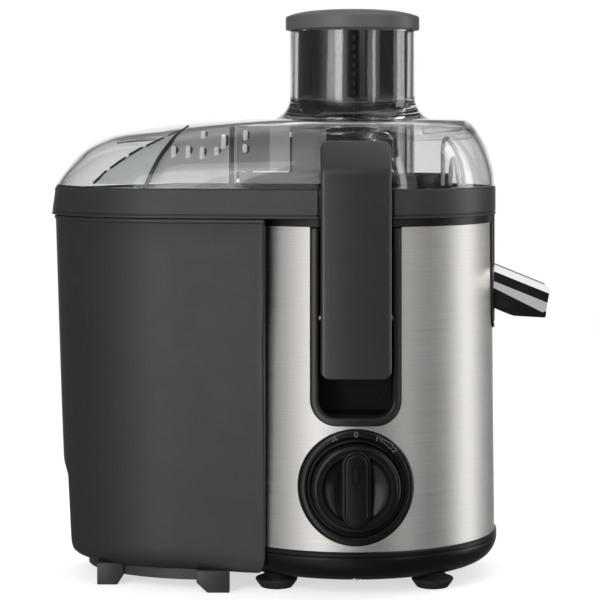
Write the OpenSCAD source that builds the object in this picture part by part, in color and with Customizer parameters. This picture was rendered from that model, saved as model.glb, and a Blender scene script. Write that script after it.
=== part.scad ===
// Centrifugal juicer with a side pulp container, a front dial and two locking levers.
// Millimetres. +Z is up, +X points to the spout and -Y to the front.
// The origin lies under the middle of the outline, on the plane that the feet stand on.

/* [Outline] */
// Radius of the round motor end at the collar
collar_r = 88.5; // [88:0.5:89.5]
// Reach of the collar to the left of the motor axis
collar_reach = 186; // [184:1:188]
// Reach of the spout to the right of the motor axis
spout_reach = 121; // [120:1:124]
// Height of the underside of the collar band
collar_z = 220.5; // [220.4:0.1:221]

/* [Lid] */
// Height of the lid's lower edge
lid_z = 238; // [238:0.5:239]
// Wall of the clear lid
lid_wall = 2.4; // [2:0.1:2.8]
// Inner radius of the feed tube
tube_r = 36.2; // [36:0.1:36.6]
// Height of the top of the feed tube
tube_top = 333.4; // [320:1:340]

/* [Pusher] */
// Radius of the pusher's cap
cap_r = 41.4; // [40:0.2:43]
// Radius of the pusher's body
pusher_r = 34; // [32:0.5:35]

/* [Base] */
// Radius of the steel skin at its foot
skin_foot_r = 87.5; // [87:0.1:87.6]
// Radius of the steel skin at its top
skin_top_r = 85.8; // [85.6:0.1:86]
// Thickness of the steel skin
skin_wall = 0.8; // [0.6:0.1:0.8]

/* [Levers] */
// Width of a locking lever
lever_w = 41; // [38:1:42]
// Height of the lever's hinge pin
pivot_z = 163; // [160:1:166]
// Radius of the hinge pin
pin_r = 2; // [1.5:0.5:2.5]

/* [Dial] */
// Height of the dial's middle
dial_z = 65; // [64:1:66]
// Radius of the dial's fixed ring
dial_r = 34; // [32:1:35]

/* [Hidden] */
$fn = 96;
gap = 0.1;
// How far a cutting shape reaches past what it cuts, and depths inside and outside every side wall
over = 1;
far_in = 60;
far_out = 110;
axis_x = (collar_reach - spout_reach) / 2;
plan_step = 6;
collar_h = lid_z - gap - collar_z;
collar_wall = 3;
deck_z = 234;
deck_t = 2.4;

// Pusher and feed tube
cap_z = tube_top + 0.2;
cap_edge_top = 341;
cap_top = 346.7;
pusher_z = 208;
pusher_floor = 3;
pusher_wall = 2.4;
seam_w = 1.4;
seam_z = 214;
seam_l = 110;
tube_z = 205;
flare_w = 14;
flare_h = 15;
flare_z = 278.4;
flare_under = 276.6;
seal_r = 78.4;
seal_in_r = 75.8;

// Skin and housing
skin_z = 27.5;
skin_top = 215.8;
housing_wall = 3.2;
ring_r = 86.5;
ring_z = 216;
ring_top = 220.3;
ring_under = 213.4;
well_r = 73.8;
well_wall = 2.2;
well_z = 172;
well_floor = 4;
chamber_top = well_z - well_floor;

// Levers and their pockets
pivot_y = 82.5;
ear_r = 4;
pin_gap = 0.05;
lever_side = 2.4;
lever_channel_top = 244;
lever_tuck_z = 252.9;
lever_z = 128.2;
lever_bend_z = 248.8;
lever_top_z = 266.4;
lever_out = 94;
lever_in = 84.4;
lever_tip_out = 80.6;
lever_tip_in = 76.8;
lever_tip_in_z = 263.7;
lever_corner = 5;
lever_skin = 2.6;
notch_w = 43.6;
notch_in = 83.6;
notch_top_z = 270.6;
notch_wall = 2.2;
notch_bend_in = 74.4;
notch_bend_z = 266;
notch_roof_in = 73;
notch_gap = 0.5;
recess_wall = 2;
bezel_w = 53.4;
bezel_z = 100.5;
bezel_top = 215;
bezel_in_w = 42.6;
bezel_in_z = 106;
bezel_proud = 2.2;
bezel_in = 79.5;
bezel_corner = 15;
pocket_corner = 9.5;
pin_length = 49;
pocket_wall = 1.8;
pocket_back = 78;
pocket_deep = 55.5;
pocket_floor = 106;
pocket_bend_low = 148;
pocket_bend_high = 170;

// Bowl of the juice collector
bowl_r = 72.5;
bowl_wall = 2.5;
bowl_z = 176;
chimney_r = 18;
chimney_in_r = 16;
chimney_top = 195;
channel_w = 22;
channel_low = 161;
channel_high = 184;
channel_out = 100;
channel_in_top = 194;
opening_inset = 12;
opening_edge = 60;
chute_wall = 2;

// Outlet and spout
tongue_w = 30;
tongue_z = 154;
tongue_out = 87.8;
trim_w = 41;
trim_z = 151;
trim_in_w = 31;
trim_in_z = 153.5;
trim_in = 74.5;
trim_corner = 8;
trim_in_corner = 1.5;
slot_w = tongue_w + 2;
slot_in = 62;
slot_out = 82;
slot_z = 151;
spout_tilt = 22;
spout_root_x = 88.4;
spout_w = 28;
spout_wall = 1.4;
spout_root_top = 189.8;
spout_cover_h = 17.5;
spout_corner = 11;
trough_w = spout_w - 2 * spout_wall - 0.2;
trough_wall = 1.6;
trim_proud = 1.3;
// Side views of the spout's two pieces and of the trough's channel: X and Z
COVER_SIDE = [
    [spout_root_x - 10, 200], [spout_root_x - 10, 175.3], [116.4, 160.2], [118.6, 161.5],
    [spout_reach, 174], [117.8, 177.9], [110, 200]
];
TROUGH_SIDE = [
    [spout_root_x - 6, 165], [spout_root_x, 162], [98.2, 158], [118.4, 156.8], [118.8, 160.5],
    [116, 163.5], [spout_root_x - 6, 177]
];
TROUGH_CHANNEL = [[80, 167.5], [130, 155.7], [130, 190], [80, 190]];

// Basket
basket_z = 197;
basket_low_r = 46;
basket_top_r = 56;
basket_top = 242;
basket_wall = 1.2;
rim_z = 234;
rim_top = 246;
rim_r = 60;
hub_r = 14.5;
hub_z = 181;
hub_socket_r = 11.3;
hub_socket_top = 190;
hub_boss_r = 10;
disc_r = 44;
disc_t = 1.2;
grater_teeth = 16;
grater_rows = 4;
tooth_ring = 14;
tooth_row_step = 8;
tooth_twist = 35;
tooth_shift = 0.35;
TOOTH = [2.6, 0.8, 2.4];

// Pulp container
bin_reach = 183.5;
bin_top = 220;
bin_z = 12;
bin_wall = 2.2;
bin_edge = 52.7;
bin_hollow_r = 90;
bin_lip = 2;
chute_r = bin_hollow_r + bin_wall + 1;
grip_w = 64;
grip_z = 67;
skirt_z = 6;
skirt_r = 73;
skirt_reach = 163;
skirt_wall = 3;
skirt_edge = 74;
rim_out = 0.8;
// Each foot's corner and its size, for the pairs at the far end and near the base
BIN_FEET = [[[-154, -37], [12, 9]], [[-88, -61], [14, 8]]];
// The scoop's side view: how far left it cuts, and the height
GRIP_SIDE = [[-171, -1], [-174, 60], [-180, grip_z]];

// Base pan and feet
pan_z = 9;
pan_lip_r = 88.9;
pan_lip_z = 24;
pan_wall = 2.5;
foot_x = 46.5;
foot_y = 50;
foot_r = 12.5;
foot_peg_r = 4;
peg_gap = 0.02;
peg_top = 13.5;
pan_flat_r = 73;
vents = 7;
vent_step = 8;
vent_w = 3;
vent_l = 40;
// The suction cup's outer line: radius and height
CUP_ROWS = [[foot_r - 2, 0], [foot_r, 0], [foot_r, 1.4], [8, 4.2], [6.4, 6.4], [7, pan_z]];
CUP_HOLLOW = [[0, 2.6], [6, 2.2]];

// Motor
shaft_r = 4;
shaft_z = 34;
shaft_top = 186;
stator_w = 72;
stator_z = 70;
stator_top = 115;
stator_bore = 23.5;
coil_ring = 29.5;
coil_r = 4;
bearing_r = 11;
bearing_h = 7;
bearing_gap = 0.03;
bearing_low_z = 36;
bearing_high_z = 146;
cup_r = 13.5;
arm_w = 16;
arm_t = 3;
arm_reach = 36;
mount_ring = 28;
mount_r = 5.5;
mount_z = 146;
stator_corner = 9;
coil_turn = 48;
coil_end_turn = 100;
coil_end_h = 8;
bore_gap = 1.5;
low_bracket_z = 43;
low_cup_z = 35;
low_cup_top = 46;
high_bracket_z = 143;
high_cup_top = 154;
armature_z = 72;
armature_top = 113;
armature_r = 22.9;
slots = 12;
slot_ring = 21.8;
slot_r = 1.8;
// Half a coil end of the armature: radius and height above the stack
WINDING_ROWS = [[5.5, 0], [19, 0], [19, 5], [15, 10], [5.5, 10]];
WINDING_LOW_ROWS = [[5.5, 0], [19, 0], [19, -5], [15, -9], [5.5, -9]];
commutator_z = 48;
commutator_top = 60;
commutator_r = 10.5;
bar_turn = 30;
bar_slot_ring = 9.2;
BAR_SLOT = [3, 0.5, 14];
brush_z = 49;
brush_w = 6;
brush_h = 8;
brush_in = 10.6;
brush_out = 24;
holder_in = 13;
holder_out = 27;
holder_wall = 3;
brush_gap = 0.02;
fan_z = 128;
fan_r = 30;
fan_t = 1.4;
fan_h = 11;
fan_hub_r = 8;
blades = 9;
blade_turn = 18;
blade_l = 21.5;
blade_t = 1.2;
cover_bore_r = 9;
coupling_z = 173;
coupling_h = 17;
coupling_r = 11;

// Dial, with depths that count from the axis to the front
groove_r = 28.7;
dial_proud = 2;
recess_r = 26.4;
recess_in = 73;
dial_back = 70;
knob_r = 25.8;
knob_back = 75;
knob_face = 95;
knob_front = 99.5;
knob_rim_w = 3.1;
dish_r = 19.4;
dish_in = 92.5;
bar_w = 17;
bar_l = 45;
ridge_w = 13;
pointer_w = 4.2;
pointer_low = 3.9;
pointer_high = 13.9;
switch_shaft_r = 3;
switch_w = 26;
switch_in = 52;
shaft_in = 64;
shaft_out = 84;
bar_face = 96.5;
ridge_l = 41;
pointer_deep = 0.8;
dial_cone_low = 20;
dial_cone_high = 120;

// Cord outlet
cord_z = 40;
gland_hole_r = 6;
cord_r = 3.6;
gland_end = 100;
// The gland's outer line: radius and depth behind the axis
GLAND_ROWS = [
    [cord_r, 79], [8, 79], [8, 81], [gland_hole_r - gap, 81], [gland_hole_r - gap, 87.8],
    [8.4, 87.8], [8.4, 90], [6.4, 90.6], [5.4, gland_end], [cord_r, gland_end]
];

// Base screws and their posts
post_ring = 77;
post_r = 5.4;
post_z = 16.3;
post_top = 32;
screw_r = 1.5;
screw_head_r = 3.4;
screw_seat_z = 11.8;
screw_head_h = 1.8;
screw_top = 26;
screw_gap = 0.2;
SCREW_SLOT = [4, 0.8, 1.6];

// Control board at the back
board_w = 50;
board_y = 60;
board_t = 1.6;
board_low = 64;
board_high = 100;
board_post = 20;
board_post_l = 20;
board_post_r = 3;
board_post_in = 5;
// Parts on the board: corner as X, depth over the board and height over its edge, then the size
BOARD_CHIPS = [[[-18, 8, 6], [14, 8, 10]], [[-12, 10, 24], [10, 10, 8]]];
capacitor_x = 8;
capacitor_z = 20;
capacitor_l = 14;
capacitor_r = 5;
INTERLOCK = [20, 6.5, 11];
interlock_z = 126;

// Heights above the lid's edge, with the radius of the round end and the reach to the left
LID_ROWS = [
    [0, 87.7, 183.4], [8, 87, 178], [16, 85, 171], [22, 83, 165], [27, 80.7, 157],
    [31, 78.4, 147], [34, 76.5, 131], [36.5, 74.6, 114], [38.5, 72.8, 95], [40, 70.5, 74],
    [40.6, 66, 58]
];
// The same for the pulp container, from the table up: its lowest rows are its rounded edge
BIN_ROWS = [
    [bin_z, 70, 166], [14, 75, 171], [18, 78.5, 175], [26, 80.5, 177],
    [105, 83, 180], [bin_top - bin_lip, 86, bin_reach]
];

// ---- Shared shapes ----

// Moves a shape drawn about the motor axis to its place
module place() {
    translate([axis_x, 0, 0])
        children();
}

// A point of the outline, which wraps a circle about the motor axis and an ellipse to its left.
// It is the point that lies farthest out in direction a.
function plan_point(a, r, reach) =
    let (
        middle = 0.51 * reach,
        long = reach - middle,
        wide = 0.836 * r,
        pull = sqrt(pow(long * cos(a), 2) + pow(wide * sin(a), 2))
    )
    pull - middle * cos(a) > r
        ? [long * long * cos(a) / pull - middle, wide * wide * sin(a) / pull]
        : [r * cos(a), r * sin(a)];

function plan_points(r, reach) = [for (a = [0 : plan_step : 360 - plan_step]) plan_point(a, r, reach)];

module plan(inset) {
    polygon(plan_points(collar_r - inset, collar_reach - inset));
}

// A solid through rows of [height, radius, reach], with its outline moved in by inset
module loft(rows, inset) {
    n = 360 / plan_step;
    last = len(rows) - 1;
    points = [for (row = rows, p = plan_points(row[1] - inset, row[2] - inset)) [p.x, p.y, row[0]]];
    sides = [
        for (k = [0 : last - 1], i = [0 : n - 1])
            let (j = (i + 1) % n, a = k * n + i, b = a + n, c = (k + 1) * n + j, d = k * n + j)
            each [[a, b, c], [a, c, d]]
    ];
    polyhedron(
        points = points,
        faces = concat([[for (i = [0 : n - 1]) i]], [[for (i = [n - 1 : -1 : 0]) last * n + i]], sides),
        convexity = 6
    );
}

// A plate that stands on Y = 0, with rounded corners of true arcs
module rounded_plate(w, h, r) {
    translate([r - w / 2, 0])
        square([w - 2 * r, h]);
    translate([-w / 2, r])
        square([w, h - 2 * r]);
    for (x = [-1, 1], y = [r, h - r])
        translate([x * (w / 2 - r), y])
            circle(r);
}

// Extrudes a front view, drawn as X and Z, from depth near to depth far in front of the axis
module facing(near, far) {
    translate([0, -near, 0])
        rotate([90, 0, 0])
            linear_extrude(far - near)
                children();
}

// Extrudes a side view, drawn as depth and Z, over width w about the middle plane.
// The depth counts towards the front.
module sideways(w) {
    translate([w / 2, 0, 0])
        rotate([90, 0, -90])
            linear_extrude(w)
                children();
}

// The front piece and its copy at the back
module both_sides() {
    children();
    mirror([0, 1, 0])
        children();
}

module tube(z0, z1, r_out, r_in) {
    translate([0, 0, z0])
        difference() {
            cylinder(h = z1 - z0, r = r_out);
            translate([0, 0, -1])
                cylinder(h = z1 - z0 + 2, r = r_in);
        }
}

// Radius of the skin's outer face at height z
function skin_r(z) = skin_foot_r + (skin_top_r - skin_foot_r) * (z - skin_z) / (skin_top - skin_z);

// The solid inside the skin's outer face, moved out by grow
module skin_cone(z0, z1, grow) {
    translate([0, 0, z0])
        cylinder(h = z1 - z0, r1 = skin_r(z0) + grow, r2 = skin_r(z1) + grow);
}

// ---- Lid and pusher ----

module pusher_cap() {
    color("dimgray")
        place()
            rotate_extrude()
                polygon([
                    [0, cap_z], [cap_r - 1, cap_z], [cap_r, cap_z + 1], [cap_r, cap_edge_top],
                    [cap_r - 1.2, cap_edge_top + 1.6], [cap_r - 8, cap_top - 1.7], [20, cap_top - 0.4],
                    [0, cap_top]
                ]);
}

// A hollow cup with a groove down its front and back
module pusher_body() {
    color([0.2, 0.2, 0.2])
        place()
            difference() {
                translate([0, 0, pusher_z])
                    cylinder(h = cap_z - pusher_z, r = pusher_r);
                translate([0, 0, pusher_z + pusher_floor])
                    cylinder(h = tube_top - pusher_z - 2 * pusher_floor, r = pusher_r - pusher_wall);
                both_sides()
                    translate([-seam_w / 2, -pusher_r - over, seam_z])
                        cube([seam_w, 2 * over, seam_l]);
            }
}

// The notch's side view: depth and height
function notch_profile(wall) = [
    [far_out, lid_z - over], [notch_in - wall, lid_z - over], [notch_in - wall, lever_tuck_z - wall / 2],
    [notch_bend_in - wall, notch_bend_z], [notch_roof_in - wall, notch_top_z + wall],
    [far_out, notch_top_z + wall]
];

module lid_notch(wall) {
    intersection() {
        sideways(notch_w + 2 * wall)
            polygon(notch_profile(wall));
        translate([0, 0, ring_top])
            facing(far_in, far_out)
                rounded_plate(notch_w + 2 * wall, notch_top_z + wall - ring_top, lever_corner + wall);
    }
}

module lid_hollow() {
    squeeze = 1 - lid_wall / LID_ROWS[len(LID_ROWS) - 1][0];
    inner_rows = [for (row = LID_ROWS) [lid_z + row[0] * squeeze, row[1], row[2]]];
    loft(inner_rows, lid_wall);
    translate([0, 0, lid_z - over])
        linear_extrude(over + 0.01)
            polygon(plan_points(LID_ROWS[0][1] - lid_wall, LID_ROWS[0][2] - lid_wall));
}

module lid() {
    rows = [for (row = LID_ROWS) [lid_z + row[0], row[1], row[2]]];
    color("lightgray")
        place()
            difference() {
                union() {
                    difference() {
                        loft(rows, 0);
                        lid_hollow();
                    }
                    intersection() {
                        loft(rows, 0);
                        both_sides()
                            lid_notch(notch_wall);
                    }
                    translate([0, 0, tube_z])
                        cylinder(h = tube_top - tube_z, r = tube_r + lid_wall);
                    feed_flare();
                }
                both_sides()
                    lid_notch(0);
                translate([0, 0, tube_z - over])
                    cylinder(h = tube_top - tube_z + 2 * over, r = tube_r);
            }
}

// The sweep from the roof up into the feed tube, round about a quarter of an ellipse
module feed_flare() {
    foot_r_out = tube_r + lid_wall + flare_w;
    rotate_extrude()
        polygon(concat(
            [[tube_r + over, flare_under], [foot_r_out, flare_under]],
            [
                for (a = [0 : 10 : 90])
                    [foot_r_out - flare_w * sin(a), flare_z + flare_h * (1 - cos(a))]
            ],
            [[tube_r + over, flare_z + flare_h]]
        ));
}

// A soft ring in the groove between the lid and the bowl
module lid_seal() {
    color("gray")
        place()
            tube(deck_z + deck_t, lid_z - 0.3, seal_r, seal_in_r);
}

// ---- Levers ----

// A moulded channel: its skin faces out, and its two flanges carry the pin
module lever() {
    difference() {
        intersection() {
            sideways(lever_w) {
                polygon([
                    [lever_out, lever_z], [lever_out, lever_bend_z], [lever_tip_out, lever_top_z],
                    [lever_tip_in, lever_tip_in_z], [lever_in, lever_tuck_z], [lever_in, lever_z]
                ]);
                translate([pivot_y, pivot_z])
                    circle(ear_r);
            }
            translate([0, 0, lever_z])
                facing(far_in, far_out)
                    rounded_plate(lever_w, lever_top_z - lever_z, lever_corner);
            cylinder(h = tube_top, r = lever_out);
        }
        translate([lever_side - lever_w / 2, lever_skin - lever_out, lever_z + lever_skin])
            cube([lever_w - 2 * lever_side, lever_out - far_in, lever_channel_top - lever_z - lever_skin]);
        translate([-lever_w, -pivot_y, pivot_z])
            rotate([0, 90, 0])
                cylinder(h = 2 * lever_w, r = pin_r + pin_gap);
    }
}

module lever_front() {
    color([0.27, 0.27, 0.28])
        place()
            lever();
}

module lever_rear() {
    color([0.27, 0.27, 0.28])
        place()
            mirror([0, 1, 0])
                lever();
}

module pin_hole(r) {
    translate([-pin_length / 2, -pivot_y, pivot_z])
        rotate([0, 90, 0])
            cylinder(h = pin_length, r = r);
}

module lever_pins() {
    color("silver")
        place()
            both_sides()
                pin_hole(pin_r);
}

// A plate with round corners below and square ones above
module u_plate(w, h, r) {
    rounded_plate(w, h, r);
    translate([-w / 2, h / 2])
        square([w, h / 2]);
}

// The opening in the skin and the housing that a bezel fills
module bezel_hole(grow, top) {
    translate([0, 0, bezel_z - grow])
        facing(bezel_in - grow, far_out)
            u_plate(bezel_w + 2 * grow, top - bezel_z + grow, bezel_corner);
}

// A U frame through the skin, round the mouth of the lever's pocket
module lever_bezel() {
    difference() {
        intersection() {
            skin_cone(bezel_z - over, bezel_top, bezel_proud);
            bezel_hole(0, bezel_top);
        }
        translate([0, 0, bezel_in_z])
            facing(far_in, far_out)
                u_plate(bezel_in_w, lid_z - bezel_in_z, pocket_corner);
        pin_hole(pin_r);
    }
}

module lever_bezel_front() {
    color([0.22, 0.22, 0.23])
        place()
            lever_bezel();
}

module lever_bezel_rear() {
    color([0.22, 0.22, 0.23])
        place()
            mirror([0, 1, 0])
                lever_bezel();
}

// The pocket behind a bezel, moved out by wall: shallow beside the bowl, deep below the pin
module pocket_solid(wall, front) {
    sideways(bezel_in_w + 2 * wall)
        polygon([
            [front, pocket_floor - wall], [pocket_deep - wall, pocket_floor - wall],
            [pocket_deep - wall, pocket_bend_low + wall / 2],
            [pocket_back - wall, pocket_bend_high + wall / 2],
            [pocket_back - wall, bezel_top], [front, bezel_top]
        ]);
}

module lever_pocket() {
    difference() {
        pocket_solid(pocket_wall, bezel_in - gap);
        translate([0, 0, 0.01])
            pocket_solid(0, far_out);
    }
}

module lever_pocket_front() {
    color([0.1, 0.1, 0.1])
        place()
            lever_pocket();
}

module lever_pocket_rear() {
    color([0.1, 0.1, 0.1])
        place()
            mirror([0, 1, 0])
                lever_pocket();
}

// ---- Basket ----

// A cone of fine mesh on a pressed floor
module filter_basket() {
    color("silver")
        place()
            rotate_extrude()
                polygon([
                    [hub_boss_r, basket_z], [basket_low_r, basket_z], [basket_top_r, rim_z + 2],
                    [basket_top_r, basket_top], [basket_top_r - basket_wall, basket_top],
                    [basket_top_r - basket_wall, rim_z + 2],
                    [basket_low_r - basket_wall, basket_z + basket_wall],
                    [hub_boss_r, basket_z + basket_wall]
                ]);
}

module basket_rim() {
    color([0.13, 0.13, 0.13])
        place()
            rotate_extrude()
                polygon([
                    [basket_top_r, rim_z + 2], [rim_r - 2, rim_z], [rim_r, rim_z + 1],
                    [rim_r, rim_top - 1], [rim_r - 1, rim_top], [basket_top_r - 1.4, rim_top],
                    [basket_top_r - 1.4, basket_top], [basket_top_r, basket_top]
                ]);
}

// Rows of small upright teeth on a thin disc
module grater_disc() {
    disc_z = basket_z + basket_wall;
    color("gainsboro")
        place() {
            translate([0, 0, disc_z])
                cylinder(h = disc_t, r = disc_r);
            for (row = [0 : grater_rows - 1], i = [0 : grater_teeth - 1])
                rotate([0, 0, (i + row * tooth_shift) * 360 / grater_teeth])
                    translate([tooth_ring + row * tooth_row_step, -disc_t / 2, disc_z + disc_t * 2 / 3])
                        rotate([0, 0, tooth_twist])
                            cube(TOOTH);
        }
}

// Holds the basket's floor and drops over the drive coupling
module basket_hub() {
    color([0.13, 0.13, 0.13])
        place()
            difference() {
                union() {
                    translate([0, 0, hub_z])
                        cylinder(h = basket_z - hub_z, r = hub_r);
                    translate([0, 0, basket_z])
                        cylinder(h = basket_wall, r = hub_boss_r);
                }
                translate([0, 0, hub_z - over])
                    cylinder(h = hub_socket_top - hub_z + over, r = hub_socket_r);
            }
}

// ---- Juice collector ----

module collar_band() {
    translate([0, 0, collar_z])
        linear_extrude(collar_h)
            difference() {
                plan(0);
                plan(collar_wall);
            }
}

// The way the pulp falls from the deck into its container
module pulp_opening() {
    difference() {
        intersection() {
            plan(opening_inset);
            translate([-collar_reach, -far_out])
                square([collar_reach - opening_edge, 2 * far_out]);
        }
        circle(chute_r);
    }
}

module collar_deck() {
    translate([0, 0, deck_z])
        linear_extrude(deck_t)
            difference() {
                plan(1);
                circle(bowl_r - 1);
                pulp_opening();
            }
}

// A lip round the pulp opening, which guides the pulp down
module pulp_chute() {
    translate([0, 0, collar_z + chute_wall])
        linear_extrude(deck_z - collar_z - 1)
            difference() {
                offset_opening();
                pulp_opening();
            }
}

module offset_opening() {
    difference() {
        intersection() {
            plan(opening_inset - chute_wall);
            translate([-collar_reach, -far_out])
                square([collar_reach - opening_edge + chute_wall, 2 * far_out]);
        }
        circle(chute_r - chute_wall + 2 * gap);
    }
}

module lever_recess(wall) {
    translate([-notch_w / 2 - wall - notch_gap, -far_out, collar_z - over])
        cube([notch_w + 2 * (wall + notch_gap), far_out - notch_in + wall, collar_h + 2 * over]);
}

// The tongue outside the bowl, down the right side, with the juice's channel in it
module juice_tongue() {
    intersection() {
        translate([bowl_r - 2, -tongue_w / 2, tongue_z])
            cube([tongue_w, tongue_w, collar_z + over - tongue_z]);
        cylinder(h = tube_top, r = tongue_out);
    }
}

module juice_channel() {
    translate([0, channel_w / 2, 0])
        rotate([90, 0, 0])
            linear_extrude(channel_w)
                polygon([
                    [bowl_r - 6, bowl_z + bowl_wall], [bowl_r + 3, bowl_z - 4], [channel_out, channel_low],
                    [channel_out, channel_high], [bowl_r - 6, channel_in_top]
                ]);
}

module juice_collector() {
    color([0.29, 0.29, 0.3])
        place()
            difference() {
                union() {
                    collar_band();
                    collar_deck();
                    pulp_chute();
                    intersection() {
                        both_sides()
                            lever_recess(recess_wall);
                        translate([0, 0, collar_z])
                            linear_extrude(collar_h)
                                plan(0);
                    }
                    translate([0, 0, bowl_z])
                        cylinder(h = deck_z + deck_t - bowl_z, r = bowl_r);
                    juice_tongue();
                }
                difference() {
                    translate([0, 0, bowl_z + bowl_wall])
                        cylinder(h = lid_z - bowl_z, r = bowl_r - bowl_wall);
                    translate([0, 0, bowl_z])
                        cylinder(h = chimney_top - bowl_z, r = chimney_r);
                }
                translate([0, 0, bowl_z - over])
                    cylinder(h = chimney_top - bowl_z + 2 * over, r = chimney_in_r);
                juice_channel();
                both_sides()
                    lever_recess(0);
            }
}

// Draws a shape in the spout's own line: it starts at the root, slopes down and points right
module on_spout_line() {
    translate([spout_root_x, 0, spout_root_top])
        rotate([0, spout_tilt, 0])
            children();
}

// The arch of the cover seen along the spout
module spout_arch(inset) {
    w = spout_w - 2 * inset;
    h = spout_cover_h - inset;
    r = spout_corner - inset;
    translate([-w / 2, -spout_cover_h - 1])
        square([w, h - r + 1]);
    translate([r - w / 2, -spout_cover_h - 1])
        square([w - 2 * r, h + 1]);
    for (x = [-1, 1])
        translate([x * (w / 2 - r), -r - inset])
            circle(r);
}

module spout_prism(inset, from, to) {
    on_spout_line()
        translate([from, 0, 0])
            rotate([90, 0, 90])
                linear_extrude(to - from)
                    spout_arch(inset);
}

// Cuts the cover's lower edge and its end
module spout_side(points, w) {
    translate([0, w / 2, 0])
        rotate([90, 0, 0])
            linear_extrude(w)
                polygon(points);
}

module spout_cover() {
    color("gainsboro")
        place()
            difference() {
                intersection() {
                    spout_prism(0, -spout_w / 2, 2 * spout_w);
                    spout_side(COVER_SIDE, 2 * spout_w);
                }
                spout_prism(spout_wall, -spout_w, 3 * spout_w);
                cylinder(h = collar_z, r = tongue_out + gap);
            }
}

// The black channel under the cover: its floor is flat outside and slopes inside
module spout_trough() {
    color([0.12, 0.12, 0.12])
        place()
            difference() {
                spout_side(TROUGH_SIDE, trough_w);
                spout_side(TROUGH_CHANNEL, trough_w - 2 * trough_wall);
                cylinder(h = collar_z, r = tongue_out + gap);
            }
}

// A flat U drawn to the right: Y across and Z up, extruded along X
module rightward(near, far) {
    translate([near, 0, 0])
        rotate([90, 0, 90])
            linear_extrude(far - near)
                children();
}

module outlet_hole(grow, top) {
    translate([0, 0, trim_z - grow])
        rightward(trim_in - grow, far_out)
            u_plate(trim_w + 2 * grow, top - trim_z + grow, trim_corner);
}

// The black U frame round the tongue
module outlet_trim() {
    color([0.1, 0.1, 0.1])
        place()
            difference() {
                intersection() {
                    skin_cone(trim_z - over, bezel_top, trim_proud);
                    outlet_hole(0, bezel_top);
                }
                translate([0, 0, trim_in_z])
                    rightward(far_in, far_out)
                        u_plate(trim_in_w, lid_z - trim_in_z, trim_in_corner);
                cylinder(h = lid_z, r = well_r + well_wall + 1);
            }
}

// ---- Pulp container ----

module bin_edge_cut(shift) {
    translate([-bin_edge - shift, -far_out, -over])
        cube([2 * far_out, 2 * far_out, lid_z]);
    translate([0, 0, -over])
        cylinder(h = lid_z, r = bin_hollow_r + shift);
}

// A scoop in the left end, for the fingers
module bin_grip(wall) {
    translate([0, grip_w / 2 + wall, 0])
        rotate([90, 0, 0])
            linear_extrude(grip_w + 2 * wall)
                polygon(concat(
                    [[-collar_reach - over, GRIP_SIDE[0].y]],
                    [for (p = GRIP_SIDE) [p.x + wall, p.y == grip_z ? p.y + wall : p.y]],
                    [[-collar_reach - over, grip_z + wall]]
                ));
}

module bin_body() {
    hollow_rows = [for (row = BIN_ROWS) [row[0] + bin_wall, row[1], row[2]]];
    difference() {
        difference() {
            loft(BIN_ROWS, 0);
            bin_edge_cut(0);
            bin_grip(0);
        }
        difference() {
            loft(hollow_rows, bin_wall);
            bin_edge_cut(bin_wall);
            bin_grip(bin_wall);
        }
    }
}

// A thin lip round the top, under the collar
module bin_rim() {
    last = BIN_ROWS[len(BIN_ROWS) - 1];
    difference() {
        translate([0, 0, last[0]])
            linear_extrude(bin_lip)
                difference() {
                    polygon(plan_points(last[1] + rim_out, last[2] + rim_out));
                    polygon(plan_points(last[1] - bin_wall, last[2] - bin_wall));
                }
        bin_edge_cut(0);
    }
    translate([0, 0, last[0]])
        linear_extrude(bin_lip)
            intersection() {
                difference() {
                    circle(bin_hollow_r + bin_wall);
                    circle(bin_hollow_r);
                }
                polygon(plan_points(last[1] - 1, last[2] - 1));
                translate([-collar_reach, -far_out])
                    square([collar_reach - bin_edge, 2 * far_out]);
            }
}

// The skirt that the container stands on, and its four feet
module bin_skirt() {
    difference() {
        intersection() {
            translate([0, 0, skirt_z])
                linear_extrude(bin_z + 1 - skirt_z)
                    difference() {
                        polygon(plan_points(skirt_r, skirt_reach));
                        polygon(plan_points(skirt_r - skirt_wall, skirt_reach - skirt_wall));
                    }
            translate([-collar_reach, -far_out, 0])
                cube([collar_reach - skirt_edge, 2 * far_out, 2 * bin_z]);
        }
        cylinder(h = 2 * bin_z, r = bin_hollow_r);
    }
}

module bin_feet() {
    both_sides()
        for (foot = BIN_FEET)
            translate(foot[0])
                cube([foot[1].x, foot[1].y, bin_z + 1]);
}

module pulp_container() {
    color([0.24, 0.24, 0.25])
        place() {
            bin_body();
            bin_rim();
            bin_skirt();
            bin_feet();
        }
}

// ---- Base ----

module housing_shell() {
    difference() {
        skin_cone(skin_z, ring_under, -skin_wall - gap);
        translate([0, 0, skin_z - 1])
            cylinder(h = ring_under - skin_z + 2, r = skin_top_r - skin_wall - housing_wall);
    }
}

// The rim that closes the housing, and the well that the collector's bowl sits in
module cover_shell() {
    skin_cone(ring_under, skin_top, -skin_wall - gap);
    translate([0, 0, skin_top])
        cylinder(h = ring_top - skin_top, r = ring_r - 1.5);
    translate([0, 0, ring_z])
        cylinder(h = ring_top - ring_z, r = ring_r);
    translate([0, 0, chamber_top])
        cylinder(h = ring_top - chamber_top, r = well_r + well_wall);
}

module screw_posts(z0, z1, r) {
    for (a = [0 : 90 : 270])
        rotate([0, 0, a])
            translate([post_ring, 0, z0])
                cylinder(h = z1 - z0, r = r);
}

module cord_hole(r) {
    translate([0, far_in, cord_z])
        rotate([-90, 0, 0])
            cylinder(h = far_out - far_in, r = r);
}

// A disc of the dial from depth near to depth far
module dial_disc(near, far, r) {
    translate([0, -near, dial_z])
        rotate([90, 0, 0])
            cylinder(h = far - near, r = r);
}

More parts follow.
